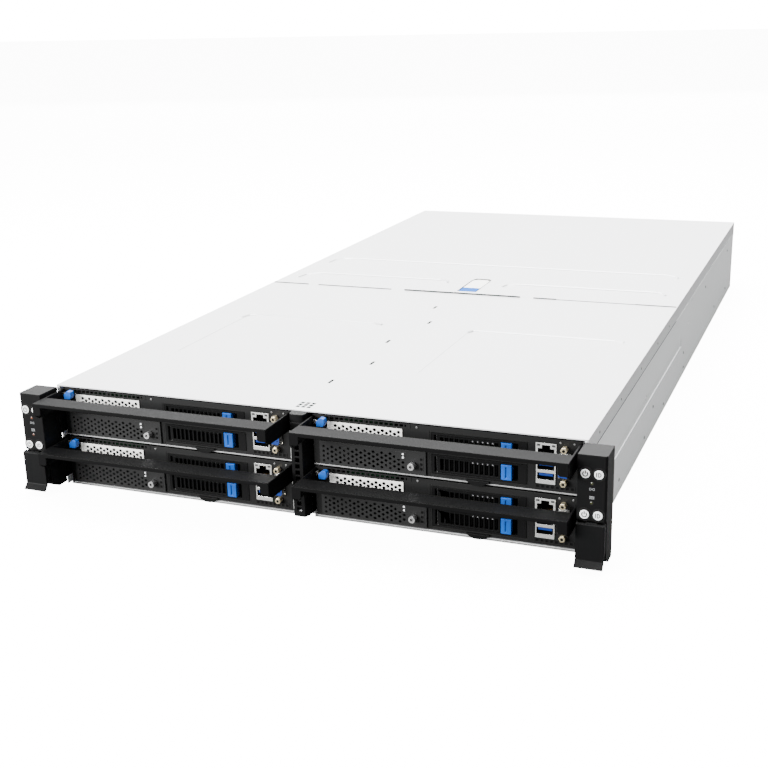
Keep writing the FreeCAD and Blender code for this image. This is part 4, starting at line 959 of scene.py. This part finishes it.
            # painted highlight: light strips on the lip's bends
            bright.block((left, 0.9, 0.1), (right, 1.4, 0.45), 0.1)
            bright.block((left + 2.0, 0.7, 1.75), (right - 2.0, 1.4, 2.1), 0.1)
        lip.place("floor_lip", SHADED_STEEL, "chassis", (0, 0, 0), "zinc_steel")
        bright.place("floor_lip_edges", COVER_SHEET, "chassis", (0, 0, 0), "zinc_steel")

    def build_ridges(self) -> None:
        """Rims of the pressed panels and ribs on the covers."""
        for name, body, runs in (("front_cover", "chassis", self.front_ridges),
                                 ("rear_cover", "top_cover", self.rear_ridges)):
            rims = Shape()
            for run in runs:
                rims.ridge(run, 87.5, self.ridge_half, self.ridge_high)
            rims.place(f"{name}_ridges", COVER_SHEET, body, (0, 0, 0), "zinc_steel")

    def build_rivets(self) -> None:
        """Low rivet heads along both sides and on the cover flanges."""
        heads = Shape()
        dome = ((0.0, 0.45), (0.8, 0.42), (1.4, 0.25), (self.rivet_radius, 0.0),
                (0.0, 0.0))
        for sign in (-1, 1):
            for y, z in self.rivets:
                heads.lathe((sign * self.half_width, y, z), "x",
                            [(r, sign * h) for r, h in dome], 14)
            for y in self.flange_rivets:
                heads.lathe((sign * self.half_width, y, 80.5), "x",
                            [(r * 0.7, sign * h * 0.7) for r, h in dome], 12)
        heads.place("side_rivets", SHADED_STEEL, "chassis", (0, 0, 0), "zinc_steel")


@dataclass
class RackEar:
    """Control ear on one side: housing, lever, buttons, lamps and marks."""

    side: str
    face: float = -25.7
    button_face: float = -26.3
    middle: float = 230.65
    offset: float = 4.7
    rows: tuple[tuple[str, float], ...] = (("upper", 72.8), ("lower", 42.8))
    lamps: tuple[float, float] = (65.8, 51.5)
    icons: tuple[float, float] = (61.6, 55.4)

    @property
    def centre(self) -> float:
        """X of the middle of the ear."""
        return self.middle if self.side == "right" else -self.middle

    def build(self) -> None:
        """Dresses the ear, its lever and its buttons, and adds lamps and marks."""
        Lifted(f"ear_{self.side}").dress(f"ear_{self.side}_housing", BLACK_MOULDING, "chassis",
                                         bevel=0.2)
        lever = f"ear_lever_{self.side}"
        Lifted(lever).dress(f"{lever}_shell", BLACK_MOULDING, lever, bevel=0.4)
        for level, high in self.rows:
            for kind, shift in (("power", -self.offset), ("id", self.offset)):
                self.build_button(kind, level, self.centre + shift, high)
        self.build_lamps()

    def build_button(self, kind: str, level: str, x: float, z: float) -> None:
        """One white button in its dark ring, with its mark."""
        node = f"{kind}_button_{self.side}_{level}"
        Lifted(node).dress(f"{node}_cap", BLACK_MOULDING, node, bevel=0.3)
        front = self.button_face
        Shape().lathe((x, front, z), "y", (
            (0.0, -0.3), (2.9, -0.3), (3.35, 0.05), (3.35, 0.4), (0.0, 0.4)), 32).place(
            f"{node}_disc", WHITE_BUTTON, node, (0, 0, 0), "button_plastic")
        Shape().ring((x, 0, z), 4.25, 4.9, self.face - 0.15, self.face + 0.2).place(
            f"{node}_ring", FACE_PAINT, "chassis", (0, 0, 0), "black_plastic")
        mark = Shape()
        front -= 0.36
        if kind == "power":
            mark.arc((x, front, z), 1.7, 0.8, 125.0, 290.0, 0.08)
            mark.block((x - 0.4, front, z + 0.1), (x + 0.4, front + 0.08, z + 2.5))
        else:
            mark.block((x - 2.0, front, z - 1.7), (x - 1.25, front + 0.08, z + 1.7))
            mark.block((x - 0.6, front, z - 1.7), (x + 0.1, front + 0.08, z + 1.7))
            mark.arc((x + 0.1, front, z), 1.35, 0.7, -90.0, 180.0, 0.08)
        mark.place(f"{node}_mark", MARK if kind == "power" else GREY_MARK, node, (0, 0, 0),
                   "button_plastic")

    def build_lamps(self) -> None:
        """Two status lamps and the pale icons beside them."""
        lens = AMBER if self.side == "left" else OLIVE
        lamps = Shape()
        bezels = Shape()
        for z in self.lamps:
            lamps.lathe((self.centre, self.face, z), "y", (
                (0.0, -0.32), (0.5, -0.26), (0.95, 0.0), (0.95, 0.3), (0.0, 0.3)), 20)
            bezels.ring((self.centre, 0, z), 0.95, 1.5, self.face - 0.1, self.face + 0.2, 24)
        lamps.place(f"ear_{self.side}_lamps", lens, "chassis", (0, 0, 0), "black_plastic")
        bezels.place(f"ear_{self.side}_lamp_rings", FACE_PAINT, "chassis", (0, 0, 0),
                     "black_plastic")
        marks = Shape()
        front = self.face - 0.05
        back = self.face + 0.05
        x = self.centre
        upper, lower = self.icons
        # two linked boxes above, a stack of slabs below
        for left, right in ((-1.9, -0.5), (0.5, 1.9)):
            marks.windowed([x + left, x + left + 0.28, x + right - 0.28, x + right],
                           [upper - 0.9, upper - 0.62, upper + 0.62, upper + 0.9], front, back)
        marks.block((x - 0.5, front, upper - 0.14), (x + 0.5, back, upper + 0.14))
        for step in range(3):
            z = lower - 1.0 + 0.85 * step
            marks.block((x - 1.6, front, z), (x + 0.9, back, z + 0.5))
        marks.block((x + 1.15, front, lower - 1.0), (x + 1.7, back, lower + 1.2))
        marks.place(f"ear_{self.side}_icons", PALE_MARK, "chassis", (0, 0, 0), "black_plastic")


@dataclass
class Sled:
    """One server sled: tray, ports, cards, boards, handle and latch."""

    side: str
    level: str
    lefts: dict[str, float] = field(default_factory=lambda: {"left": -217.5, "right": 9.5})
    lows: dict[str, float] = field(default_factory=lambda: {"upper": 45.0, "lower": 2.6})
    face: float = 2.0
    jack: tuple[float, float] = (174.5, 189.5)
    jack_low: float = 23.4
    jack_high: float = 36.2

    @property
    def tag(self) -> str:
        """Side and level, as the CAD names have them."""
        return f"{self.side}_{self.level}"

    @property
    def body(self) -> str:
        """The CAD body of the sled."""
        return f"sled_{self.tag}"

    @property
    def corner(self) -> Point:
        """Lower left front corner of the sled."""
        return (self.lefts[self.side], self.face, self.lows[self.level])

    def put(self, shape: Shape, name: str, finish: Finish, slot: str = "sled_steel",
            bevel: float = 0.0) -> bpy.types.Object:
        """Places a new piece on the sled."""
        return shape.place(f"{self.body}_{name}", finish, self.body, self.corner, slot, bevel)

    def build(self) -> None:
        """Dresses the sled's CAD solids and adds its small pieces."""
        self.dress_tray()
        self.dress_electronics()
        self.dress_latch()
        self.build_bracket()
        self.build_card_face()
        self.build_face_holes()
        self.build_ports()
        self.build_board_parts()

    def dress_tray(self) -> None:
        """Zinc pan, black front plate, drive cage, handle and keel."""
        tray = Lifted(f"sled_tray_{self.tag}", self.corner)
        pan, plate, cage, handle, keel = tray.near(
            (104, 280, 19), (104, 0.6, 20), (132, 59, 19), (104, -21, 32), (131.5, -1.2, 0))
        name = self.body
        tray.dress(f"{name}_pan", ZINC, name, [pan], 0.15)
        tray.dress(f"{name}_front_plate", FACE_PAINT, name, [plate], 0.15)
        tray.dress(f"{name}_drive_cage", FACE_PAINT, name, [cage], 0.15)
        tray.dress(f"{name}_handle", BLACK_PAINT, name, [handle], 0.35)
        tray.dress(f"{name}_keel", BLACK_MOULDING, name, [keel], 0.3)

    def dress_electronics(self) -> None:
        """Boards, heat sink, memory, sockets and connectors from the CAD solids."""
        parts = Lifted(f"sled_electronics_{self.tag}", self.corner)
        name, slot = self.body, "circuit_board"
        middle = sum(self.jack) / 2
        jack, stack, tongue_low, tongue_high = parts.near(
            (middle, 8.7, 29.8), (middle, 8.2, 14.3), (middle, 5.2, 11.9), (middle, 5.2, 19.5))
        parts.dress(f"{name}_network_jack", SHELL, name, [jack], 0.12,
                    (DEEP_SHADE, lambda p: -0.5 < p.y < 12.1 and abs(p.x - middle) < 6.1))
        parts.dress(f"{name}_usb_shell", SHELL, name, [stack], 0.12,
                    (DEEP_SHADE, lambda p: -0.5 < p.y < 10.1 and abs(p.x - middle) < 6.3))
        parts.dress(f"{name}_usb_tongues", BLUE_PORT, name, [tongue_low, tongue_high],
                    0.15)
        video, screw_low, screw_high = parts.near(
            (195.7, 3.8, 20), (195.7, -2.4, 7.9), (195.7, -2.4, 33.1))
        parts.dress(f"{name}_video_shell", BLUE_PORT, name, [video], 0.3,
                    (SHELL, lambda p: p.y > -4.3))
        parts.dress(f"{name}_video_screws", BRASS, name, [screw_low, screw_high], 0.3)
        bracket, face_plate, thumb = parts.near(
            (42.7, -0.45, 27.6), (48.5, -0.8, 10.2), (81.5, -4.4, 8.3))
        parts.taken |= {bracket, face_plate, thumb}
        sink, socket = parts.near((104, 310, 21.5), (104, 310, 6.2))
        parts.dress(f"{name}_heat_sink", FIN_METAL, name, [sink], 0.15)
        posts = [n for n, (low, high) in enumerate(parts.boxes)
                 if high.z < 3.8 and high.x - low.x < 8.0]
        parts.dress(f"{name}_standoffs", BRASS, name, posts, 0.1)
        boards = [n for n, (low, high) in enumerate(parts.boxes)
                  if n not in parts.taken and (
                      high.z - low.z < 2.0 or high.y - low.y < 2.0 or high.x - low.x < 2.0)]
        cards = parts.near((42, 84, 27.2), (48, 58, 11.6))
        parts.dress(f"{name}_boards", SOLDER_MASK, name, boards, 0.08)
        parts.dress(f"{name}_cards", SOLDER_MASK, name, cards, 0.1)
        parts.dress(f"{name}_plugs", BOARD_PLUG, name, [
            n for n in parts.rest() if n != socket] + [socket], 0.15)

    def dress_latch(self) -> None:
        """Bright spring strip with the blue thumb piece."""
        latch = f"sled_latch_{self.tag}"
        parts = Lifted(latch, self.corner)
        strip, thumb = parts.near((3.5, 29, 35), (10.5, -7, 36.7))
        parts.dress(f"{latch}_strip", SPRING, latch, [strip], 0.12)
        parts.dress(f"{latch}_thumb", BLUE_TOUCH, latch, [thumb], 0.45)

    def build_bracket(self) -> None:
        """Bright perforated bracket of the expansion card."""
        panel = HolePanel(12.4, 73.0, 20.0, 35.3, 19.0, 22.0, 3.2, 1.75, 17, 7, 1.3)
        self.put(Shape().perforated(panel, -0.9, -0.4), "card_bracket", NICKEL,
                 "circuit_board")
        shade = Shape().block((12.8, -0.35, 20.4), (72.6, -0.05, 34.9))
        self.put(shade, "card_bracket_shade", DEEP_SHADE, "circuit_board")

    def build_card_face(self) -> None:
        """Black perforated face of the network card, its lamps and its thumb screw."""
        panel = HolePanel(5.5, 91.5, 1.0, 19.4, 8.9, 3.5, 3.4, 1.93, 20, 7, 1.08)
        self.put(Shape().perforated(panel, -1.6, -0.9), "card_face", CARD_FACE,
                 "circuit_board")
        shade = Shape().block((6.0, -0.8, 1.5), (91.0, -0.05, 18.9))
        self.put(shade, "card_face_shade", DEEP_SHADE, "circuit_board")
        plate = Shape().block((67.4, -1.75, 11.6), (75.9, -1.5, 17.6), 0.1)
        self.put(plate, "card_lamp_plate", CARD_FACE, "circuit_board")
        lamps = Shape()
        for z in (13.3, 16.0):
            lamps.block((72.9, -1.95, z - 0.75), (74.3, -1.7, z + 0.75), 0.15)
        self.put(lamps, "card_lamps", CLEAR_LAMP, "circuit_board")
        holes = Shape().windowed([86.6, 87.2, 89.2, 89.8],
                                 [4.0, 4.6, 6.6, 8.4, 10.4, 12.2, 14.2, 14.8], -1.85, -1.55)
        self.put(holes, "card_key_frame", CARD_FACE, "circuit_board")
        dark = Shape().block((87.0, -1.66, 4.4), (89.4, -1.55, 14.4))
        self.put(dark, "card_key_shade", DEEP_SHADE, "circuit_board")
        # the knurled rim is painted in shade; only the front face ring is plain steel
        screw = Shape()
        screw.lathe((81.5, 0.0, 8.3), "y", (
            (0.0, -5.9), (0.9, -5.9), (1.2, -7.0), (2.3, -7.2), (2.9, -6.6), (2.9, -2.6),
            (2.2, -2.2), (2.2, -1.6), (0.0, -1.6)), 28)
        ridged = [v for v in screw.bm.verts if math.hypot(v.co.x - 81.5, v.co.z - 8.3) > 2.6]
        for vert in ridged:
            turn = math.atan2(vert.co.z - 8.3, vert.co.x - 81.5) / math.tau * 28
            if round(turn) % 2:
                vert.co.x = 81.5 + (vert.co.x - 81.5) * 0.91
                vert.co.z = 8.3 + (vert.co.z - 8.3) * 0.91
        self.put(screw, "card_thumb_screw", SHADOWED_SCREW_STEEL, "circuit_board")
        cap = Shape().ring((81.5, 0.0, 8.3), 1.3, 2.5, -7.25, -7.1)
        self.put(cap, "card_thumb_face", STEEL, "circuit_board")

    def build_face_holes(self) -> None:
        """Rows of small square holes above the bracket and below the ports, and screws."""
        pitch = 4.02
        lines = [9.6]
        for number in range(17):
            left = 11.0 - 0.4 + pitch * number
            lines += [left, left + 2.9]
        lines.append(79.4)
        strip = Shape().windowed(lines, [36.2, 36.95, 38.95, 39.6], -0.3, 0.0)
        self.put(strip, "upper_grille", FACE_PAINT)
        lines = [174.0]
        for number in range(8):
            left = 175.2 + 3.62 * number
            lines += [left, left + 2.3]
        lines.append(203.6)
        row = Shape().windowed(lines, [1.2, 2.0, 4.2, 4.9], -0.45, 0.0)
        self.put(row, "lower_grille", FACE_PAINT)
        self.put(Shape().block((174.6, -0.06, 1.6), (203.0, 0.0, 4.5)), "lower_grille_shade",
                 DEEP_SHADE)
        # screw heads painted in shade with the darkened steel
        heads = Shape()
        for x, z, radius in ((192.4, 37.4, 0.9), (202.4, 37.3, 0.9), (191.6, 11.0, 0.8),
                             (203.6, 24.0, 0.8), (84.4, 37.6, 1.0), (84.6, 24.0, 1.1)):
            screw_head(heads, (x, 0.0, z), -1.0, "y", radius, 0.6)
        self.put(heads, "face_screws", SHADOWED_SCREW_STEEL)
        feet = Shape()
        for x in (5.0, 203.2):
            for z in (27.0, 30.0):
                screw_head(feet, (x, -1.5, z), -1.0, "y", 0.9, 0.35)
        self.put(feet, "handle_rivets", BLACK_PAINT)
        edges = Shape()
        for low, high in ((1.0, 10.0), (22.5, 33.0)):
            edges.block((207.0, -0.3, low), (207.5, 0.2, high), 0.1)
        self.put(edges, "bare_edges", SHELL)

    def build_ports(self) -> None:
        """Contacts, lamp windows and inserts of the connectors."""
        left, right = self.jack
        middle = (left + right) / 2
        windows = Shape()
        for x in (left + 0.7, right - 3.3):
            windows.block((x, -0.78, self.jack_high - 2.5), (x + 2.6, -0.5,
                                                             self.jack_high - 0.9), 0.1)
        self.put(windows, "jack_lamps", CHIP, "circuit_board")
        wires = Shape()
        for number in range(8):
            x = middle - 3.56 + 1.016 * number
            wires.block((x - 0.2, 1.5, self.jack_low + 1.3), (x + 0.2, 9.0, self.jack_low + 1.8))
        self.put(wires, "jack_contacts", GOLD, "circuit_board")
        pins = Shape()
        for column in range(3):
            for row in range(5):
                x = 195.7 - 2.1 + 2.1 * column
                z = 20.4 + 2.4 * (row - 2) + (0.6 if column == 1 else 0.0)
                pins.rod((x, -4.5, z), "y", 0.42, 0.2, 10)
        self.put(pins, "video_holes", DEEP_SHADE, "circuit_board")
        bores = Shape()
        for z in (7.9, 33.1):
            bores.ring((195.7, 0, z), 1.15, 2.0, -5.2, -4.7, 20)
        self.put(bores, "video_screw_rims", BRASS, "circuit_board")
        shades = Shape()
        for z in (7.9, 33.1):
            shades.rod((195.7, -4.86, z), "y", 1.2, 0.1, 18)
        self.put(shades, "video_screw_bores", DEEP_SHADE, "circuit_board")

    def build_board_parts(self) -> None:
        """Chips, chokes, capacitors and memory chips inside the sled."""
        top = 5.2
        chips = Shape()
        for x, y, wide, long in ((20, 150, 14, 14), (150, 160, 18, 18), (104, 410, 26, 26),
                                 (60, 440, 9, 12), (150, 450, 12, 9), (182, 120, 10, 12),
                                 (180, 60, 9, 9), (184, 480, 8, 14)):
            chips.block((x - wide / 2, y - long / 2, top), (x + wide / 2, y + long / 2,
                                                          top + 1.6), 0.15)
        for bank in (9, 159):
            for number in range(4):
                x = bank + 12 * number
                for step in range(8):
                    y = 252 + 15.5 * step
                    chips.block((x - 1.5, y, 17.0), (x - 0.7, y + 10.5, 28.0))
        self.put(chips, "chips", CHIP, "circuit_board")
        chokes = Shape()
        for number in range(9):
            x = 62 + 10.4 * number
            chokes.block((x - 4, 384, top), (x + 4, 392, top + 6.5), 0.7)
            chokes.block((x - 4, 226, top), (x + 4, 234, top + 6.5), 0.7)
        self.put(chokes, "chokes", BOARD_PLUG, "circuit_board")
        cans = Shape()
        for number in range(10):
            x = 58 + 10.4 * number
            cans.rod((x, 398, top), "z", 3.1, 8.0, 16, bevel=0.4)
            cans.rod((x, 219, top), "z", 2.6, 6.0, 16, bevel=0.4)
        self.put(cans, "capacitors", CAN_METAL, "circuit_board")
        seats = Shape()
        for bank in (9, 159):
            for number in range(4):
                x = bank + 12 * number
                seats.block((x - 3, 238, top), (x + 3, 382, top + 5.5), 0.4)
                for y in (238, 378):
                    seats.block((x - 2.4, y, top + 5), (x + 2.4, y + 4, top + 14), 0.6)
        self.put(seats, "memory_seats", BOARD_PLUG, "circuit_board")


@dataclass
class Drive:
    """One drive carrier with its louvred lever and release tab."""

    sled: Sled
    number: int
    lows: tuple[float, float] = (2.8, 19.6)
    left: float = 95.8
    pips: tuple[int, ...] = (6, 7, 8, 9, 10)

    def build(self) -> None:
        """Dresses the carrier, lever and tab, and adds lamps and screws."""
        tag = f"{self.sled.tag}_{self.number}"
        x, y, z = self.sled.corner
        corner = (x + self.left, y, z + self.lows[self.number - 1])
        carrier = f"drive_carrier_{tag}"
        parts = Lifted(carrier, corner)
        drive, pin = parts.near((36.2, 58.6, 6.1), (3.8, 1.8, 7.5))
        parts.dress(f"{carrier}_drive", DRIVE_CASE, carrier, [drive], 0.3)
        parts.dress(f"{carrier}_pin", STEEL, carrier, [pin], 0.08)
        parts.dress(f"{carrier}_frame", BLACK_MOULDING, carrier, bevel=0.18)
        lever = f"drive_lever_{tag}"
        Lifted(lever).dress(f"{lever}_louvre", BLACK_MOULDING, lever,
                            bevel=0.12)
        release = f"drive_release_{tag}"
        Lifted(release).dress(f"{release}_tab", BLUE_TOUCH, release,
                              bevel=0.35)
        self.build_lamps(carrier, corner)

    def build_lamps(self, carrier: str, corner: Point) -> None:
        """Pale light guides behind the louvre, a dark plate of painted shade behind its slots, and
        screws in the carrier's rails.
        """
        guides = Shape()
        for slot in self.pips:
            x = 6.4 + 3.8 * slot + 1.35
            guides.block((x - 0.8, 3.7, 9.6), (x + 0.8, 5.6, 11.2), 0.3, 2)
        guides.place(f"{carrier}_light_guides", CLEAR_LAMP, carrier, corner, "carrier_plastic")
        # painted shade: a near-black plate behind the louvre's slots
        slot_shade = Shape().block((4.6, 5.4, 2.0), (64.0, 6.2, 13.0), 0.2)
        slot_shade.place(f"{carrier}_louvre_painted_shade", DEEP_SHADE, carrier, corner, "carrier_plastic")
        heads = Shape()
        for x, sign in ((0.0, -1.0), (72.4, 1.0)):
            for y in (30.0, 98.0):
                screw_head(heads, (x - sign * 0.42, y, 6.0), sign, "x", 1.6, 0.35)
        heads.place(f"{carrier}_screws", STEEL, carrier, corner, "carrier_plastic")


@dataclass
class RearEnd:
    """Fans, power supplies and boards at the back."""

    supply_lows: tuple[float, float] = (1.5, 42.7)
    rear: float = 900.0
    fan_middles: tuple[float, ...] = (-168.8, -82.8, 82.8, 168.8)
    fan_high: float = 41.2
    panel: float = 897.0

    def build(self) -> None:
        """Dresses the fan wall, rotors and power supplies, and adds rear fittings."""
        wall = Lifted("fan_wall")
        frames = wall.near(*[(x, 872.8, self.fan_high) for x in self.fan_middles])
        wall.dress("fan_frames", FAN_BLACK, "chassis", frames, 0.3)
        boards = [n for n, (low, high) in enumerate(wall.boxes)
                  if n not in wall.taken and high.y - low.y < 2.6 and high.z > 60.0]
        wall.dress("mid_boards", SOLDER_MASK, "chassis", boards, 0.1)
        bars = [n for n, (low, high) in enumerate(wall.boxes)
                if n not in wall.taken and high.y - low.y > 40 and high.z - low.z < 4
                and high.x - low.x < 12]
        wall.dress("bus_bars", BRASS, "chassis", bars, 0.3)
        sheets = [n for n, (low, high) in enumerate(wall.boxes)
                  if n not in wall.taken and high.y - low.y > 100]
        wall.dress("supply_bay_sheets", ZINC, "chassis", sheets, 0.15)
        wall.dress("mid_plugs", BOARD_PLUG, "chassis", bevel=0.3)
        for number in range(1, 5):
            Lifted(f"fan_rotor_{number}").dress(f"fan_{number}_rotor", FAN_BLACK,
                                                f"fan_{number}", bevel=0.25)
            self.build_hub(number)
        for number in (1, 2):
            self.build_supply(number)
        self.build_screws()

    def build_hub(self, number: int) -> None:
        """Plain disc label on the hub of a rotor."""
        x = self.fan_middles[number - 1]
        disc = Shape().rod((x, 855.2, self.fan_high), "y", 15.0, 0.7, 40, bevel=0.15)
        disc.place(f"fan_{number}_hub_disc", CAN_METAL, f"fan_{number}", (0, 0, 0),
                   "fan_plastic")

    def build_supply(self, number: int) -> None:
        """One power supply: case, black end, handle, tab, inlet pins and lamp."""
        node, body = f"power_supply_{number}", f"supply_{number}"
        low = self.supply_lows[number - 1]
        corner = (0.0, self.rear, low)
        parts = Lifted(node, corner)
        case, end, handle, tab = parts.near((0, -140, 19.8), (0, -8, 19.8), (6, 9, 19.5),
                                            (-32.3, 7, 32))
        parts.dress(f"{body}_case", ZINC, body, [case], 0.3)
        parts.dress(f"{body}_end", BLACK_MOULDING, body, [end], 0.3)
        parts.dress(f"{body}_handle", BLACK_PAINT, body, [handle], 0.5)
        parts.dress(f"{body}_tab", BLUE_TOUCH, body, [tab], 0.4)
        parts.dress(f"{body}_inlet_pins", STEEL, body, bevel=0.3)
        lamp = Shape().lathe((28.0, 0.0, 32.0), "y", (
            (0.0, 0.5), (0.7, 0.4), (1.2, 0.0), (1.2, -0.3), (0.0, -0.3)), 18)
        lamp.place(f"{body}_lamp", GREEN_LAMP, body, corner, "supply_case")

    def build_screws(self) -> None:
        """Pan screws that hold the fans and the rear panels."""
        heads = Shape()
        for x in self.fan_middles:
            for dx in (-36.5, 36.5):
                for z in (6.0, 80.0):
                    screw_head(heads, (x + dx, self.panel, z), 1.0, "y", 2.6, 1.2)
        heads.place("rear_screws", STEEL, "chassis", (0, 0, 0), "zinc_steel")


# ---------------------------------------------------------------- studio

@dataclass(frozen=True)
class Softbox:
    """One soft rectangular lamp."""

    name: str
    at: Point
    aim: Point
    size: tuple[float, float]
    power: float

    def build(self) -> None:
        """Adds the lamp, turned to its aim."""
        lamp = bpy.data.lights.new(self.name, "AREA")
        lamp.shape = "RECTANGLE"
        lamp.size, lamp.size_y = self.size
        lamp.energy = self.power
        item = bpy.data.objects.new(self.name, lamp)
        item.location = self.at
        item.rotation_euler = (Vector(self.aim) - Vector(self.at)).to_track_quat(
            "-Z", "Y").to_euler()
        bpy.context.scene.collection.objects.link(item)


@dataclass
class Studio:
    """Floor, pale surroundings, soft lamps and the camera."""

    camera_at: Point = (0.388588, -1.226983, 0.379678)
    camera_turn: Point = (72.29465, 1.46406, 21.55396)
    lens: float = 56.889
    shift_y: float = 0.01022
    shift_x: float = -0.00065
    surround: float = 0.45
    floor_glow: float = 12.0
    lamps: tuple[Softbox, ...] = (
        Softbox("top_box", (-0.1, 0.1, 1.9), (0.0, 0.0, 0.0), (2.6, 2.8), 330.0),
        Softbox("front_box", (-1.3, -2.2, 0.75), (0.0, -0.45, 0.04), (1.6, 1.0), 210.0),
        Softbox("back_box", (-0.9, 3.6, 1.25), (0.0, 0.2, 0.08), (5.0, 2.0), 200.0),
    )

    def build(self) -> None:
        """Builds floor, surroundings, lamps and camera."""
        self.build_floor()
        self.build_surround()
        for lamp in self.lamps:
            lamp.build()
        data = bpy.data.cameras.new("view")
        data.lens = self.lens
        data.sensor_width = 36.0
        data.shift_x, data.shift_y = self.shift_x, self.shift_y
        data.clip_end = 60.0
        camera = bpy.data.objects.new("view", data)
        camera.location = self.camera_at
        camera.rotation_euler = [math.radians(a) for a in self.camera_turn]
        bpy.context.scene.collection.objects.link(camera)
        bpy.context.scene.camera = camera

    def build_floor(self) -> None:
        """A wide pale floor that the chassis stands on."""
        sheet = bmesh.new()
        bmesh.ops.create_grid(sheet, x_segments=1, y_segments=1, size=14.0)
        mesh = bpy.data.meshes.new("floor")
        sheet.to_mesh(mesh)
        sheet.free()
        floor = bpy.data.objects.new("floor", mesh)
        bpy.context.scene.collection.objects.link(floor)
        made = bpy.data.materials.new("floor_white")
        made.use_nodes = True
        made.node_tree.nodes.clear()
        wires = Wiring(made.node_tree)
        path = wires.add("ShaderNodeLightPath")
        tone = wires.mix(path.outputs["Is Camera Ray"], (0.10, 0.10, 0.10), (0.70, 0.70, 0.70))
        shader = wires.add("ShaderNodeBsdfPrincipled", Base_Color=tone, Roughness=0.9)
        shader.inputs["Specular IOR Level"].default_value = 0.0
        wires.feed(shader.inputs["Emission Color"], (1.0, 1.0, 1.0))
        wires.feed(shader.inputs["Emission Strength"], wires.maths(
            "MULTIPLY", path.outputs["Is Camera Ray"], self.floor_glow))
        leave = wires.add("ShaderNodeOutputMaterial")
        wires.feed(leave.inputs["Surface"], shader.outputs[0])
        mesh.materials.append(made)

    def build_surround(self) -> None:
        """Pale surroundings, brighter behind the object than they light it."""
        world = bpy.data.worlds.new("surround")
        bpy.context.scene.world = world
        world.use_nodes = True
        world.node_tree.nodes.clear()
        wires = Wiring(world.node_tree)
        path = wires.add("ShaderNodeLightPath")
        seen = wires.add("ShaderNodeBackground", Color=(1.0, 1.0, 1.0), Strength=17.0)
        lit = wires.add("ShaderNodeBackground", Color=(0.96, 0.98, 1.0),
                        Strength=self.surround)
        both = wires.add("ShaderNodeMixShader")
        wires.feed(both.inputs[0], path.outputs["Is Camera Ray"])
        wires.feed(both.inputs[1], lit.outputs[0])
        wires.feed(both.inputs[2], seen.outputs[0])
        leave = wires.add("ShaderNodeOutputWorld")
        wires.feed(leave.inputs["Surface"], both.outputs[0])


def main() -> None:
    """Builds the looks of every sub-assembly and reports each."""
    logging.basicConfig(level=logging.INFO, format="%(name)s: %(message)s")
    Chassis().build()
    log.info("chassis and covers built")
    for side in SIDES:
        RackEar(side).build()
        log.info("%s ear built", side)
    for side in SIDES:
        for level in LEVELS:
            sled = Sled(side, level)
            sled.build()
            for number in (1, 2):
                Drive(sled, number).build()
            log.info("sled %s built", sled.tag)
    RearEnd().build()
    log.info("rear end built")
    Studio().build()
    log.info("studio built")


if __name__ == "__main__":
    main()
